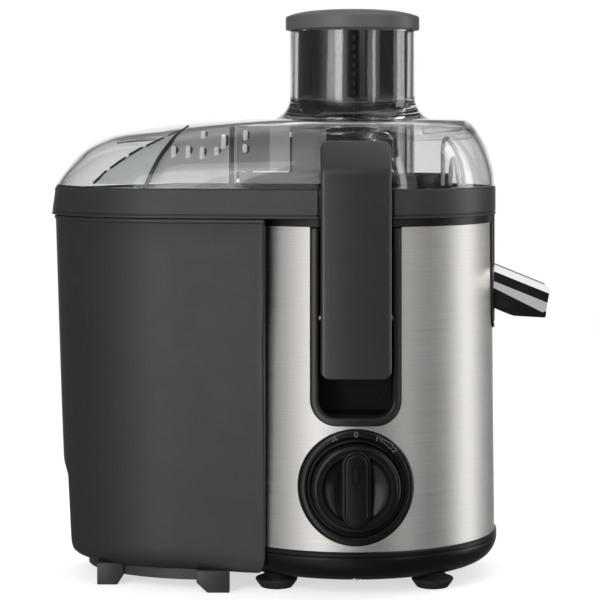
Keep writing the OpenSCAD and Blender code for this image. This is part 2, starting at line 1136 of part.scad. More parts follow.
module board_posts() {
    for (x = [-board_post, board_post], z = [board_low + board_post_in, board_high - board_post_in])
        translate([x, board_y + board_t, z])
            rotate([-90, 0, 0])
                cylinder(h = board_post_l, r = board_post_r);
}

// The box round the tongue, which keeps the motor's chamber closed
module outlet_box(wall, top) {
    translate([slot_in - wall, -slot_w / 2 - wall, slot_z - wall])
        cube([slot_out - slot_in + wall, slot_w + 2 * wall, top - slot_z + wall]);
}

// What the levers' pockets, their bezels and the outlet's trim take out of the housing
module side_openings() {
    outlet_hole(gap, ring_z);
    both_sides() {
        pocket_solid(pocket_wall + gap, bezel_in);
        bezel_hole(gap, ring_z);
    }
}

module base_housing() {
    color([0.08, 0.08, 0.08])
        place()
            difference() {
                union() {
                    housing_shell();
                    board_posts();
                    screw_posts(post_z, post_top, post_r);
                }
                screw_posts(post_z - 1, post_top - 2, screw_r);
                outlet_box(well_wall, ring_under);
                side_openings();
                cord_hole(gland_hole_r);
                dial_disc(far_in, far_out, groove_r);
            }
}

module motor_cover() {
    color([0.08, 0.08, 0.08])
        place()
            difference() {
                union() {
                    cover_shell();
                    outlet_box(well_wall, ring_under + 1);
                }
                translate([0, 0, well_z])
                    cylinder(h = lid_z - well_z, r = well_r);
                outlet_box(0, ring_top + over);
                translate([slot_out - over, -slot_w / 2, bezel_top])
                    cube([far_out - slot_out, slot_w, lid_z - bezel_top]);
                side_openings();
                both_sides()
                    translate([-notch_w / 2 - notch_gap, -far_out, bezel_top - over])
                        cube([notch_w + 2 * notch_gap, far_out - notch_in, lid_z - bezel_top]);
                cylinder(h = lid_z, r = cover_bore_r);
            }
}

module steel_skin() {
    color("lightsteelblue")
        place()
            difference() {
                skin_cone(skin_z, skin_top, 0);
                skin_cone(skin_z - 1, skin_top + 1, -skin_wall);
                outlet_hole(gap, ring_z);
                both_sides()
                    bezel_hole(gap, ring_z);
                cord_hole(gland_hole_r);
                dial_disc(far_in, far_out, groove_r);
            }
}

// The black pan under the base, with its rounded foot and vents
module base_pan() {
    bend_w = pan_lip_r - pan_flat_r;
    bend_h = pan_lip_z - pan_z;
    color([0.1, 0.1, 0.1])
        place()
            difference() {
                union() {
                    rotate_extrude()
                        polygon(concat(
                            [[0, pan_z]],
                            [
                                for (a = [0 : 10 : 90])
                                    [pan_flat_r + bend_w * sin(a), pan_lip_z - bend_h * cos(a)]
                            ],
                            [[pan_lip_r, skin_z], [pan_lip_r - pan_wall, skin_z]],
                            [
                                for (a = [90 : -10 : 0])
                                    [
                                        pan_flat_r + (bend_w - pan_wall) * sin(a),
                                        pan_lip_z - (bend_h - pan_wall) * cos(a)
                                    ]
                            ],
                            [[0, pan_z + pan_wall]]
                        ));
                    screw_posts(pan_z + 1.2, post_z, post_r);
                }
                screw_posts(pan_z - over, screw_seat_z, screw_head_r + screw_gap);
                screw_posts(pan_z - over, post_z + over, screw_r + screw_gap);
                at_feet()
                    cylinder(h = post_z, r = foot_peg_r + peg_gap);
                for (i = [0 : vents - 1])
                    translate([(i - (vents - 1) / 2) * vent_step - vent_w / 2, -vent_l / 2, pan_z - over])
                        cube([vent_w, vent_l, pan_wall + 2 * over]);
            }
}

module at_feet() {
    for (x = [-foot_x, foot_x], y = [-foot_y, foot_y])
        translate([x, y, 0])
            children();
}

// Suction cups with a neck and a peg that snaps through the pan
module suction_feet() {
    color([0.12, 0.12, 0.12])
        place()
            at_feet()
                rotate_extrude()
                    polygon(concat(
                        CUP_ROWS,
                        [
                            [foot_peg_r, pan_z], [foot_peg_r, pan_z + pan_wall],
                            [foot_peg_r + 1, pan_z + pan_wall], [foot_peg_r - 1, peg_top], [0, peg_top]
                        ],
                        CUP_HOLLOW
                    ));
}

module base_screws() {
    color("silver")
        place()
            difference() {
                union() {
                    screw_posts(screw_seat_z, screw_top, screw_r);
                    screw_posts(screw_seat_z - screw_head_h, screw_seat_z, screw_head_r);
                }
                for (a = [0 : 90 : 270])
                    rotate([0, 0, a])
                        translate([post_ring, 0, screw_seat_z - screw_head_h])
                            cube(SCREW_SLOT, center = true);
            }
}

// ---- Dial ----

module dial_ring() {
    color([0.1, 0.1, 0.1])
        place()
            difference() {
                intersection() {
                    union() {
                        difference() {
                            dial_disc(far_in, far_out, dial_r);
                            skin_cone(dial_cone_low, dial_cone_high, pin_gap);
                        }
                        dial_disc(dial_back, far_out, groove_r - gap);
                    }
                    skin_cone(dial_cone_low, dial_cone_high, dial_proud);
                }
                dial_disc(recess_in, far_out, recess_r);
                dial_disc(far_in, far_out, switch_shaft_r + pin_gap);
            }
}

// The grip bar's outline: two round ends joined by a waist as wide as they are
module bar_outline(w, l) {
    square([w, l - w], center = true);
    for (z = [-1, 1])
        translate([0, z * (l - w) / 2])
            circle(w / 2);
}

module bar_solid(w, l, near, far) {
    translate([0, 0, dial_z])
        facing(near, far)
            bar_outline(w, l);
}

module pointer(near, far) {
    translate([0, 0, dial_z + (pointer_low + pointer_high) / 2])
        facing(near, far)
            bar_outline(pointer_w, pointer_high - pointer_low);
}

module knob() {
    color([0.1, 0.1, 0.1])
        place()
            difference() {
                union() {
                    difference() {
                        dial_disc(knob_back, knob_face, knob_r);
                        dial_disc(dish_in, knob_face + over, dish_r);
                    }
                    intersection() {
                        bar_solid(bar_w, bar_l, dish_in - over, bar_face);
                        dial_disc(far_in, far_out, knob_r - knob_rim_w);
                    }
                    intersection() {
                        bar_solid(ridge_w, ridge_l, dish_in - over, knob_front);
                        dial_disc(far_in, far_out, knob_r - knob_rim_w);
                    }
                }
                dial_disc(far_in, shaft_out, switch_shaft_r);
                pointer(knob_front - pointer_deep, knob_front + over);
            }
}

// A pale oval set into the bar
module knob_pointer() {
    color("gainsboro")
        place()
            pointer(knob_front - pointer_deep, knob_front + gap);
}

module switch_shaft() {
    color("silver")
        place()
            dial_disc(shaft_in, shaft_out, switch_shaft_r);
}

module switch_body() {
    color([0.2, 0.2, 0.22])
        place()
            difference() {
                translate([-switch_w / 2, -dial_back, dial_z - switch_w / 2])
                    cube([switch_w, dial_back - switch_in, switch_w]);
                dial_disc(shaft_in, far_out, switch_shaft_r + pin_gap);
            }
}

// ---- Motor ----

// The places where the coils pass through the stator, in front and behind
module coil_bars(z0, z1, r) {
    for (side = [90, 270], a = [-coil_turn, coil_turn])
        rotate([0, 0, side + a])
            translate([coil_ring, 0, z0])
                cylinder(h = z1 - z0, r = r);
}

module coil_end(z0) {
    for (side = [90, 270])
        translate([0, 0, z0])
            rotate([0, 0, side - coil_end_turn / 2])
                rotate_extrude(angle = coil_end_turn)
                    translate([coil_ring - coil_r, 0])
                        square([2 * coil_r, coil_end_h]);
}

module field_coils() {
    color("peru")
        place() {
            coil_bars(stator_z - over, stator_top + over, coil_r);
            coil_end(stator_top);
            coil_end(stator_z - coil_end_h);
        }
}

module motor_stator() {
    color("slategray")
        place()
            difference() {
                translate([0, 0, stator_z])
                    linear_extrude(stator_top - stator_z)
                        translate([0, -stator_w / 2])
                            rounded_plate(stator_w, stator_w, stator_corner);
                translate([0, 0, stator_z - over])
                    cylinder(h = stator_top - stator_z + 2 * over, r = stator_bore);
                coil_bars(stator_z - 2 * over, stator_top + 2 * over, coil_r + pin_gap);
            }
}

// A cross of arms with a cup for the bearing and two legs to the stator
module bracket(arm_low, cup_low, cup_high, leg_low, leg_high) {
    for (a = [0, 90])
        rotate([0, 0, a])
            translate([-arm_reach, -arm_w / 2, arm_low])
                cube([2 * arm_reach, arm_w, arm_t]);
    translate([0, 0, cup_low])
        cylinder(h = cup_high - cup_low, r = cup_r);
    for (x = [-arm_reach, arm_reach - arm_t])
        translate([x, -arm_w / 2, leg_low])
            cube([arm_t, arm_w, leg_high - leg_low]);
}

module bracket_bottom() {
    color("gray")
        place()
            difference() {
                bracket(low_bracket_z, low_cup_z, low_cup_top, low_bracket_z, stator_z);
                translate([0, 0, low_cup_z - over])
                    cylinder(h = bearing_low_z + bearing_h - low_cup_z + over, r = bearing_r);
                cylinder(h = stator_z, r = shaft_r + bore_gap);
            }
}

module bracket_top() {
    color("gray")
        place()
            difference() {
                bracket(high_bracket_z, high_bracket_z, high_cup_top, stator_top, mount_z);
                translate([0, 0, bearing_high_z])
                    cylinder(h = high_cup_top - bearing_high_z + over, r = bearing_r);
                translate([0, 0, high_bracket_z - over])
                    cylinder(h = arm_t + 2 * over, r = shaft_r + bore_gap);
            }
}

module bearing_bottom() {
    color("silver")
        place()
            tube(bearing_low_z, bearing_low_z + bearing_h, bearing_r, shaft_r + bearing_gap);
}

module bearing_top() {
    color("silver")
        place()
            tube(bearing_high_z, bearing_high_z + bearing_h, bearing_r, shaft_r + bearing_gap);
}

module motor_shaft() {
    color("silver")
        place()
            translate([0, 0, shaft_z])
                cylinder(h = shaft_top - shaft_z, r = shaft_r);
}

module armature() {
    color("slategray")
        place()
            difference() {
                tube(armature_z, armature_top, armature_r, shaft_r);
                for (i = [0 : slots - 1])
                    rotate([0, 0, i * 360 / slots])
                        translate([slot_ring, 0, armature_z - over])
                            cylinder(h = armature_top - armature_z + 2 * over, r = slot_r);
            }
}

module armature_windings() {
    color("peru")
        place()
            rotate_extrude() {
                translate([0, armature_top])
                    polygon(WINDING_ROWS);
                translate([0, armature_z])
                    polygon(WINDING_LOW_ROWS);
            }
}

module commutator() {
    color("peru")
        place()
            difference() {
                tube(commutator_z, commutator_top, commutator_r, shaft_r);
                for (a = [0 : bar_turn : 360 - bar_turn])
                    rotate([0, 0, a])
                        translate([bar_slot_ring, -BAR_SLOT.y / 2, commutator_z - over])
                            cube(BAR_SLOT);
            }
}

module brush_box(near, far, grow) {
    both_sides()
        translate([-brush_w / 2 - grow, -far, brush_z - grow])
            cube([brush_w + 2 * grow, far - near, brush_h + 2 * grow]);
}

module carbon_brushes() {
    color([0.15, 0.15, 0.15])
        place()
            brush_box(brush_in, brush_out, 0);
}

module brush_holders() {
    color("darkgoldenrod")
        place()
            difference() {
                brush_box(holder_in, holder_out, holder_wall);
                brush_box(holder_in - over, brush_out, brush_gap);
            }
}

module cooling_fan() {
    color([0.9, 0.9, 0.85])
        place()
            difference() {
                union() {
                    translate([0, 0, fan_z])
                        cylinder(h = fan_t, r = fan_r);
                    translate([0, 0, fan_z])
                        cylinder(h = fan_h, r = fan_hub_r);
                    for (i = [0 : blades - 1])
                        rotate([0, 0, i * 360 / blades])
                            translate([fan_hub_r - over, 0, fan_z])
                                rotate([0, 0, blade_turn])
                                    cube([blade_l, blade_t, fan_h]);
                }
                translate([0, 0, fan_z - over])
                    cylinder(h = fan_h + 2 * over, r = shaft_r);
            }
}

module motor_mounts() {
    color([0.12, 0.12, 0.12])
        place()
            for (a = [0 : 90 : 270])
                rotate([0, 0, a])
                    translate([mount_ring, 0, mount_z])
                        cylinder(h = chamber_top - mount_z, r = mount_r);
}

module shaft_seal() {
    color([0.12, 0.12, 0.12])
        place()
            tube(chamber_top, well_z, cover_bore_r, shaft_r + pin_gap);
}

module drive_coupling() {
    color([0.13, 0.13, 0.13])
        place()
            difference() {
                translate([0, 0, coupling_z])
                    cylinder(h = coupling_h, r = coupling_r);
                translate([0, 0, coupling_z - over])
                    cylinder(h = shaft_top - coupling_z + over, r = shaft_r);
            }
}

// ---- Electrics and cord outlet ----

module control_board() {
    color("darkgreen")
        place() {
            translate([-board_w / 2, board_y, board_low])
                cube([board_w, board_t, board_high - board_low]);
            for (chip = BOARD_CHIPS)
                translate([chip[0].x, board_y - chip[0].y, board_low + chip[0].z])
                    cube(chip[1]);
            translate([capacitor_x, board_y - capacitor_l, board_low + capacitor_z])
                rotate([-90, 0, 0])
                    cylinder(h = capacitor_l, r = capacitor_r);
        }
}

module interlock_switch() {
    color([0.2, 0.2, 0.22])
        place()
            translate([-INTERLOCK.x / 2, pocket_wall - pocket_deep, interlock_z])
                cube(INTERLOCK);
}

// A grommet with a tapered tail that holds the cord
module cord_gland() {
    color([0.12, 0.12, 0.12])
        place()
            translate([0, 0, cord_z])
                rotate([-90, 0, 0])
                    rotate_extrude()
                        polygon(GLAND_ROWS);
}

pusher_cap();
pusher_body();
lid();
lid_seal();
lever_front();
lever_rear();
lever_pins();
lever_bezel_front();
lever_bezel_rear();
lever_pocket_front();
lever_pocket_rear();
filter_basket();
basket_rim();
grater_disc();
basket_hub();
juice_collector();
spout_cover();
spout_trough();
outlet_trim();
pulp_container();
base_housing();
motor_cover();
steel_skin();
base_pan();
suction_feet();
base_screws();
dial_ring();
knob();
knob_pointer();
switch_shaft();
switch_body();
motor_stator();
field_coils();
bracket_top();
bracket_bottom();
armature();
armature_windings();
commutator();
motor_shaft();
bearing_top();
bearing_bottom();
cooling_fan();
carbon_brushes();
brush_holders();
motor_mounts();
drive_coupling();
shaft_seal();
control_board();
interlock_switch();
cord_gland();
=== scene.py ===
"""Looks of the centrifugal juicer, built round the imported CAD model.

Shapes are drawn in millimetres about the motor's axis: X to the spout, Y to the back, Z up.
piece() then moves them to the row frame, in metres.
"""

import math

import bmesh
import bpy
from mathutils import Matrix, Vector

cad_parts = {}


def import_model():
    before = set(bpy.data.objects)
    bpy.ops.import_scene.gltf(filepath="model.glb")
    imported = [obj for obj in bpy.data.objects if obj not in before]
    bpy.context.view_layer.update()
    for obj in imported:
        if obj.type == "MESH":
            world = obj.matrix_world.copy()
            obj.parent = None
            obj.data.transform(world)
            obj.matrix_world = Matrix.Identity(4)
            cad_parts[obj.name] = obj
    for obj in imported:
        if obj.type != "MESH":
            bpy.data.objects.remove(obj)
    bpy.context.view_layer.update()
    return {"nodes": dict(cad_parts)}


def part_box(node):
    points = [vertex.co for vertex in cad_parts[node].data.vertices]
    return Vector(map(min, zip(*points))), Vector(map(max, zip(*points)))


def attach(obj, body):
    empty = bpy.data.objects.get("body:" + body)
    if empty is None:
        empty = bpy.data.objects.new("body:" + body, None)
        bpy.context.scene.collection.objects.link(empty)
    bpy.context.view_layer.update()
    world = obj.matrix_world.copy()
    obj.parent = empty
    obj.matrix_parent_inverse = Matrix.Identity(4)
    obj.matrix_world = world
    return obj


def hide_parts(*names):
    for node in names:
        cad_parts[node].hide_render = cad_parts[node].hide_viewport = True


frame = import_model()

MM = 0.001
AXIS_X = sum(corner.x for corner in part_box("motor_shaft")) / 2


class Box:
    """A CAD node's box in millimetres about the motor's axis."""

    def __init__(self, node):
        low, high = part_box(node)
        self.x0, self.x1 = (low.x - AXIS_X) / MM, (high.x - AXIS_X) / MM
        self.y0, self.y1 = low.y / MM, high.y / MM
        self.z0, self.z1 = low.z / MM, high.z / MM


CAP = Box("pusher_cap")
LID = Box("lid")
LEVER = Box("lever_front")
BEZEL = Box("lever_bezel_front")
COLLECTOR = Box("juice_collector")
BASKET = Box("filter_basket")
RIM = Box("basket_rim")
SKIN = Box("steel_skin")
PAN = Box("base_pan")
FEET = Box("suction_feet")
BIN = Box("pulp_container")
DIAL = Box("dial_ring")
KNOB = Box("knob")
TRIM = Box("outlet_trim")
COVER = Box("spout_cover")
TROUGH = Box("spout_trough")
GLAND = Box("cord_gland")

# ---- Meshes ----


def lerp(a, b, t):
    return a + (b - a) * t


def smoothstep(t):
    t = min(1, max(0, t))
    return t * t * (3 - 2 * t)


def arc(cx, cy, r, a0, a1, steps):
    """Points on an arc, with angles in degrees."""
    angles = [math.radians(lerp(a0, a1, i / steps)) for i in range(steps + 1)]
    return [(cx + r * math.cos(a), cy + r * math.sin(a)) for a in angles]


def resample(points, count, closed=True):
    """count points at equal steps along a line."""
    line = list(points) + ([points[0]] if closed else [])
    reach = [0.0]
    for a, b in zip(line, line[1:]):
        reach.append(reach[-1] + math.dist(a, b))
    spans = count if closed else count - 1
    out = []
    k = 0
    for i in range(count):
        s = reach[-1] * i / spans
        while k < len(line) - 2 and reach[k + 1] < s:
            k += 1
        step = reach[k + 1] - reach[k]
        t = (s - reach[k]) / step if step else 0
        out.append(tuple(lerp(p, q, t) for p, q in zip(line[k], line[k + 1])))
    return out


def spline(rows, cuts):
    """Rows on a smooth curve through the rows given, with cuts steps between each pair."""
    ends = [[2 * a - b for a, b in zip(rows[0], rows[1])], [2 * a - b for a, b in zip(rows[-1], rows[-2])]]
    line = [ends[0]] + [list(r) for r in rows] + [ends[1]]

    def between(a, b, c, d, t):
        square = (2 * a - 5 * b + 4 * c - d) * t * t
        return 0.5 * (2 * b + (c - a) * t + square + (3 * b - a - 3 * c + d) * t ** 3)

    out = []
    for four in zip(line, line[1:], line[2:], line[3:]):
        out += [[between(*values, i / cuts) for values in zip(*four)] for i in range(cuts)]
    return out + [list(rows[-1])]


def rounded(w, h, r, steps=6, foot=0.0):
    """A rounded rectangle, w by h, that stands on foot."""
    x, low, high = w / 2 - r, foot + r, foot + h - r
    return (
        arc(x, low, r, -90, 0, steps) + arc(x, high, r, 0, 90, steps)
        + arc(-x, high, r, 90, 180, steps) + arc(-x, low, r, 180, 270, steps)
    )


def bezier(a, b, c, steps):
    """Points on a curve from a to c, pulled to b."""
    out = []
    for i in range(1, steps):
        t = i / steps
        out.append(tuple((1 - t) ** 2 * p + 2 * t * (1 - t) * q + t * t * r for p, q, r in zip(a, b, c)))
    return out


def filleted(points, radii, steps=5):
    """A closed line with its corners rounded. A radius of 0 keeps a corner sharp."""
    out = []
    n = len(points)
    for i, (p, r) in enumerate(zip(points, radii)):
        if not r:
            out.append(p)
            continue
        back, ahead = Vector(points[i - 1]) - Vector(p), Vector(points[(i + 1) % n]) - Vector(p)
        half = back.angle(ahead) / 2
        reach = min(r / math.tan(half), back.length * 0.48, ahead.length * 0.48)
        a, b = Vector(p) + back.normalized() * reach, Vector(p) + ahead.normalized() * reach
        out += [tuple(a)] + bezier(tuple(a), p, tuple(b), steps) + [tuple(b)]
    return out


def grid(rings, loop=False, wrap=True, caps=True):
    """A mesh through rings of points. loop joins the last ring to the first, and wrap closes each ring."""
    mesh = bmesh.new()
    rows = [[mesh.verts.new(p) for p in ring] for ring in rings]
    n = len(rings[0])
    for low, high in zip(rows, rows[1:] + rows[:1] if loop else rows[1:]):
        for i in range(n if wrap else n - 1):
            j = (i + 1) % n
            mesh.faces.new((low[i], low[j], high[j], high[i]))
    if caps and not loop:
        mesh.faces.new(rows[0])
        mesh.faces.new(rows[-1])
    bmesh.ops.remove_doubles(mesh, verts=mesh.verts, dist=1e-4)
    bmesh.ops.dissolve_degenerate(mesh, edges=mesh.edges, dist=1e-5)
    bmesh.ops.recalc_face_normals(mesh, faces=mesh.faces)
    return mesh


def lathe(profile, steps=128):
    """A solid turned about Z from a closed profile of (radius, height)."""
    turns = [2 * math.pi * i / steps for i in range(steps)]
    return grid([[(r * math.cos(a), r * math.sin(a), z) for r, z in profile] for a in turns], loop=True)


def tube_about(points, r, steps=8):
    """A round bar along points in space."""
    rings = []
    for i, p in enumerate(points):
        a, b = Vector(points[max(0, i - 1)]), Vector(points[min(len(points) - 1, i + 1)])
        along = (b - a).normalized()
        side = along.cross(Vector((0, 1, 0.001))).normalized()
        up = side.cross(along)
        turns = [2 * math.pi * k / steps for k in range(steps)]
        rings.append([tuple(Vector(p) + side * r * math.cos(t) + up * r * math.sin(t)) for t in turns])
    return grid(rings)


def layered(outline, layers):
    """A solid through layers of (inset, height) of an outline, which is a function of its inset."""
    return grid([[(x, y, z) for x, y in outline(inset)] for inset, z in layers])


def soft_layers(low, high, r, steps=4):
    """Layers of (inset, height) from low to high, with a rounded upper edge."""
    turns = [math.radians(90 * i / steps) for i in range(steps + 1)]
    return [(0, low)] + [(r * (1 - math.cos(a)), high - r * (1 - math.sin(a))) for a in turns]


def upright(outline, z0, z1):
    """A plan's outline, pulled up from z0 to z1."""
    return grid([[(x, y, z) for x, y in outline] for z in (z0, z1)])


def across(outline, y0, y1):
    """A front view's outline, drawn as X and height, pulled from y0 to y1."""
    return grid([[(x, y, z) for x, z in outline] for y in (y0, y1)])


def turned(mesh, matrix):
    """The same mesh, moved by a matrix."""
    bmesh.ops.transform(mesh, matrix=matrix, verts=mesh.verts)
    bmesh.ops.recalc_face_normals(mesh, faces=mesh.faces)
    return mesh


# Turns a front view, drawn as X, height and depth, so that its depth points to the front
TO_FRONT = Matrix(((1, 0, 0, 0), (0, 0, -1, 0), (0, 1, 0, 0), (0, 0, 0, 1)))
TO_BACK = TO_FRONT.transposed()
# Turns a view from the right, drawn as Y, height and reach
TO_RIGHT = Matrix(((0, 0, 1, 0), (1, 0, 0, 0), (0, 1, 0, 0), (0, 0, 0, 1)))
MIRROR_Y = Matrix.Diagonal((1, -1, 1, 1))
SIDES = {"front": Matrix.Identity(4), "rear": MIRROR_Y}
TO_ROW = Matrix.Translation((AXIS_X, 0, 0)) @ Matrix.Scale(MM, 4)


def to_data(mesh, name="part"):
    """Mesh data made of a bmesh, which is freed."""
    data = bpy.data.meshes.new(name)
    mesh.to_mesh(data)
    mesh.free()
    return data


def linked(name, data):
    """A new object in the scene."""
    obj = bpy.data.objects.new(name, data)
    bpy.context.scene.collection.objects.link(obj)
    return obj


def joined(*meshes):
    """One mesh of several separate shells."""
    out = bmesh.new()
    for mesh in meshes:
        data = to_data(mesh)
        out.from_mesh(data)
        bpy.data.meshes.remove(data)
    return out


def block(x0, x1, y0, y1, z0, z1, bevel=0.0):
    """A cuboid with rounded edges."""
    mesh = bmesh.new()
    bmesh.ops.create_cube(mesh, size=1)
    place = Matrix.Translation(((x0 + x1) / 2, (y0 + y1) / 2, (z0 + z1) / 2))
    size = Matrix.Diagonal((x1 - x0, y1 - y0, z1 - z0, 1))
    bmesh.ops.transform(mesh, matrix=place @ size, verts=mesh.verts)
    if bevel:
        bmesh.ops.bevel(mesh, geom=mesh.edges, offset=bevel, segments=3, affect="EDGES", profile=0.5)
    return mesh


def baked(obj):
    """The object's mesh with its modifiers applied, as a bmesh. The object is removed."""
    depsgraph = bpy.context.evaluated_depsgraph_get()
    data = bpy.data.meshes.new_from_object(obj.evaluated_get(depsgraph))
    mesh = bmesh.new()
    mesh.from_mesh(data)
    bpy.data.objects.remove(obj)
    bpy.data.meshes.remove(data)
    return mesh


def combine(mesh, operation, *tools):
    """mesh after a boolean operation with each tool in turn."""
    obj = linked("cut", to_data(mesh))
    for tool in tools:
        other = linked("tool", to_data(tool))
        modifier = obj.modifiers.new("boolean", "BOOLEAN")
        modifier.operation = operation
        modifier.solver = "EXACT"
        modifier.object = other
        result = baked(obj)
        bpy.data.objects.remove(other)
        obj = linked("cut", to_data(result))
    return baked(obj)


def softened(mesh, width, angle=40, segments=2):
    """mesh with its sharp edges bevelled."""
    obj = linked("soft", to_data(mesh))
    modifier = obj.modifiers.new("bevel", "BEVEL")
    modifier.width = width
    modifier.segments = segments
    modifier.limit_method = "ANGLE"
    modifier.angle_limit = math.radians(angle)
    modifier.use_clamp_overlap = True
    return baked(obj)


replaced = set()


def piece(name, mesh, body, slot, material, *nodes, smooth=38):
    """Makes a visible piece, in the row frame, that rides on a body and stands for CAD nodes."""
    bmesh.ops.transform(mesh, matrix=TO_ROW, verts=mesh.verts)
    data = to_data(mesh, name)
    data.materials.append(material)
    data.shade_smooth()
    data.set_sharp_from_angle(angle=math.radians(smooth))
    obj = linked(name, data)
    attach(obj, body)
    if nodes:
        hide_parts(*nodes)
        replaced.update(nodes)


# ---- Materials ----


def add_node(tree, kind, inputs, **settings):
    """Adds a node with its settings. An input is a value, or the socket that drives it."""
    node = tree.nodes.new(kind)
    for name, value in settings.items():
        setattr(node, name, value)
    for name, value in inputs.items():
        if isinstance(value, bpy.types.NodeSocket):
            tree.links.new(value, node.inputs[name])
        else:
            node.inputs[name].default_value = value
    return node


class Look:
    """A procedural material: a shader, and short ways to add the nodes that drive it."""

    def __init__(self, name, roughness=0.5, metallic=0.0, specular=0.5):
        self.material = bpy.data.materials.new(name)
        self.material.use_nodes = True
        self.tree = self.material.node_tree
        self.shader = self.tree.nodes["Principled BSDF"]
        self.shader.inputs["Roughness"].default_value = roughness
        self.shader.inputs["Metallic"].default_value = metallic
        self.shader.inputs["Specular IOR Level"].default_value = specular
        self.place = self.node("ShaderNodeTexCoord").outputs["Object"]

    def node(self, kind, inputs=(), **settings):
        return add_node(self.tree, kind, dict(inputs), **settings)

    def link(self, value, socket):
        self.tree.links.new(value, self.shader.inputs[socket])

    def calc(self, operation, a, b):
        return self.node("ShaderNodeMath", {0: a, 1: b}, operation=operation).outputs[0]

    def from_axis(self):
        """X and Y counted from the motor's axis, and Z."""
        parts = self.node("ShaderNodeSeparateXYZ", {0: self.place}).outputs
        return self.calc("SUBTRACT", parts["X"], AXIS_X), parts["Y"], parts["Z"]

    def round_axis(self, turn, rise):
        """The way round the motor's axis, times turn, and the height, times rise."""
        x, y, z = self.from_axis()
        around = self.calc("MULTIPLY", self.calc("ARCTAN2", y, x), turn)
        height = self.calc("MULTIPLY", z, rise)
        return self.node("ShaderNodeCombineXYZ", {"X": around, "Y": height}).outputs[0]

    def noise(self, scale, detail=3.0, vector=None, distortion=0.0):
        inputs = {"Vector": vector or self.place, "Scale": scale, "Detail": detail, "Distortion": distortion}
        return self.node("ShaderNodeTexNoise", inputs).outputs["Fac"]

    def remap(self, value, low, high, start=0.3, end=0.7):
        inputs = {"Value": value, "From Min": start, "From Max": end, "To Min": low, "To Max": high}
        return self.node("ShaderNodeMapRange", inputs).outputs["Result"]

    def mix(self, factor, a, b):
        a, b = (c if isinstance(c, bpy.types.NodeSocket) else (*c, 1) for c in (a, b))
        return self.node("ShaderNodeMix", {0: factor, 6: a, 7: b}, data_type="RGBA").outputs[2]

    def tinted(self, colour, spread, scale):
        """A colour with soft blotches, spread lighter or darker."""
        dark = [c * (1 - spread) for c in colour]
        light = [min(1, c * (1 + spread)) for c in colour]
        return self.mix(self.remap(self.noise(scale, 4), 0, 1), dark, light)

    def worn_and_lit(self, colour, light, amount):
        """A colour with paler edges: partly wear where handling has polished them, partly a painted highlight
        along the edges.
        """
        point = self.node("ShaderNodeNewGeometry").outputs["Pointiness"]
        # Convex edges turn paler: partly wear, partly a painted highlight
        edge = self.remap(point, 0, amount, 0.51, 0.58)
        return self.mix(self.calc("MULTIPLY", edge, self.noise(220)), colour, light)

    def bump(self, height, strength, distance=0.0002):
        inputs = {"Height": height, "Strength": strength, "Distance": distance}
        self.link(self.node("ShaderNodeBump", inputs).outputs["Normal"], "Normal")

    def finish(self, colour, roughness, height, strength, distance):
        """Drives the shader's colour, roughness and bump, and gives the material."""
        self.link(colour, "Base Color")
        self.link(roughness, "Roughness")
        self.bump(height, strength, distance)
        return self.material


def plastic(name, colour, roughness, grain=2400, depth=0.25, spread=0.03, wear_and_highlight=0.5, specular=0.5):
    """Moulded plastic: a fine grain, uneven gloss and slightly paler edges, partly wear and partly a painted
    edge highlight.
    """
    look = Look(name, specular=specular)
    # The paler edge colour, for wear and for a painted edge highlight
    pale = [min(1, c * 1.7 + 0.01) for c in colour]
    worn_and_lit = look.worn_and_lit(look.tinted(colour, spread, 35), pale, wear_and_highlight)
    uneven = look.remap(look.noise(90, 5), roughness * 0.94, roughness * 1.07)
    return look.finish(worn_and_lit, uneven, look.noise(grain, 2), depth, 0.00008)


def round_metal(name, colour, roughness, streak=0.22, depth=0.25, rise=9000, spread=0.05):
    """Metal brushed or turned round the motor's axis."""
    look = Look(name, metallic=1.0)
    fine = look.noise(1, 2, look.round_axis(2.5, rise))
    broad = look.noise(1, 3, look.round_axis(1.5, rise / 6))
    both = look.calc("ADD", fine, broad)
    dark = [c * (1 - spread * 2.4) for c in colour]
    look.shader.inputs["Anisotropic"].default_value = 0.75
    x, y, _ = look.from_axis()
    back = look.calc("MULTIPLY", y, -1)
    look.link(look.node("ShaderNodeCombineXYZ", {"X": back, "Y": x}).outputs[0], "Tangent")
    streaked = look.mix(look.remap(both, 0, 1, 0.75, 1.25), dark, colour)
    uneven = look.remap(both, roughness - streak / 2, roughness + streak / 2, 0.75, 1.25)
    return look.finish(streaked, uneven, both, depth, 0.00003)


def metal(name, colour, roughness, grain=900, depth=0.15, spread=0.06):
    """Plated, cast or drawn metal with an uneven polish."""
    look = Look(name, metallic=1.0)
    uneven = look.remap(look.noise(130, 5), roughness * 0.7, roughness * 1.4)
    return look.finish(look.tinted(colour, spread, 70), uneven, look.noise(grain, 3), depth, 0.00005)


def clear(name, colour, roughness, wave=0.25):
    """Clear moulded plastic with faint waves in its faces and fine handling marks."""
    look = Look(name)
    look.shader.inputs["Transmission Weight"].default_value = 1.0
    look.shader.inputs["IOR"].default_value = 1.49
    inputs = {0: look.place, 1: (900, 900, 120)}
    stretched = look.node("ShaderNodeVectorMath", inputs, operation="MULTIPLY").outputs[0]
    scuffs = look.remap(look.noise(1, 6, stretched), roughness * 0.5, roughness * 2, 0.35, 0.75)
    return look.finish(look.tinted(colour, 0.02, 25), scuffs, look.noise(55, 1), wave, 0.0003)


def striped(name, first, second, stripes, roughness, metallic=0.6, direction="Z"):
    """Stacked sheets or wound wire, in fine stripes."""
    look = Look(name, metallic=metallic)
    inputs = {"Vector": look.place, "Scale": stripes, "Distortion": 0.6, "Detail": 2.0, "Detail Scale": 3.0}
    wave = look.node("ShaderNodeTexWave", inputs, bands_direction=direction).outputs["Fac"]
    uneven = look.remap(look.noise(300), roughness * 0.8, roughness * 1.3)
    return look.finish(look.mix(wave, first, second), uneven, wave, 0.5, 0.0002)


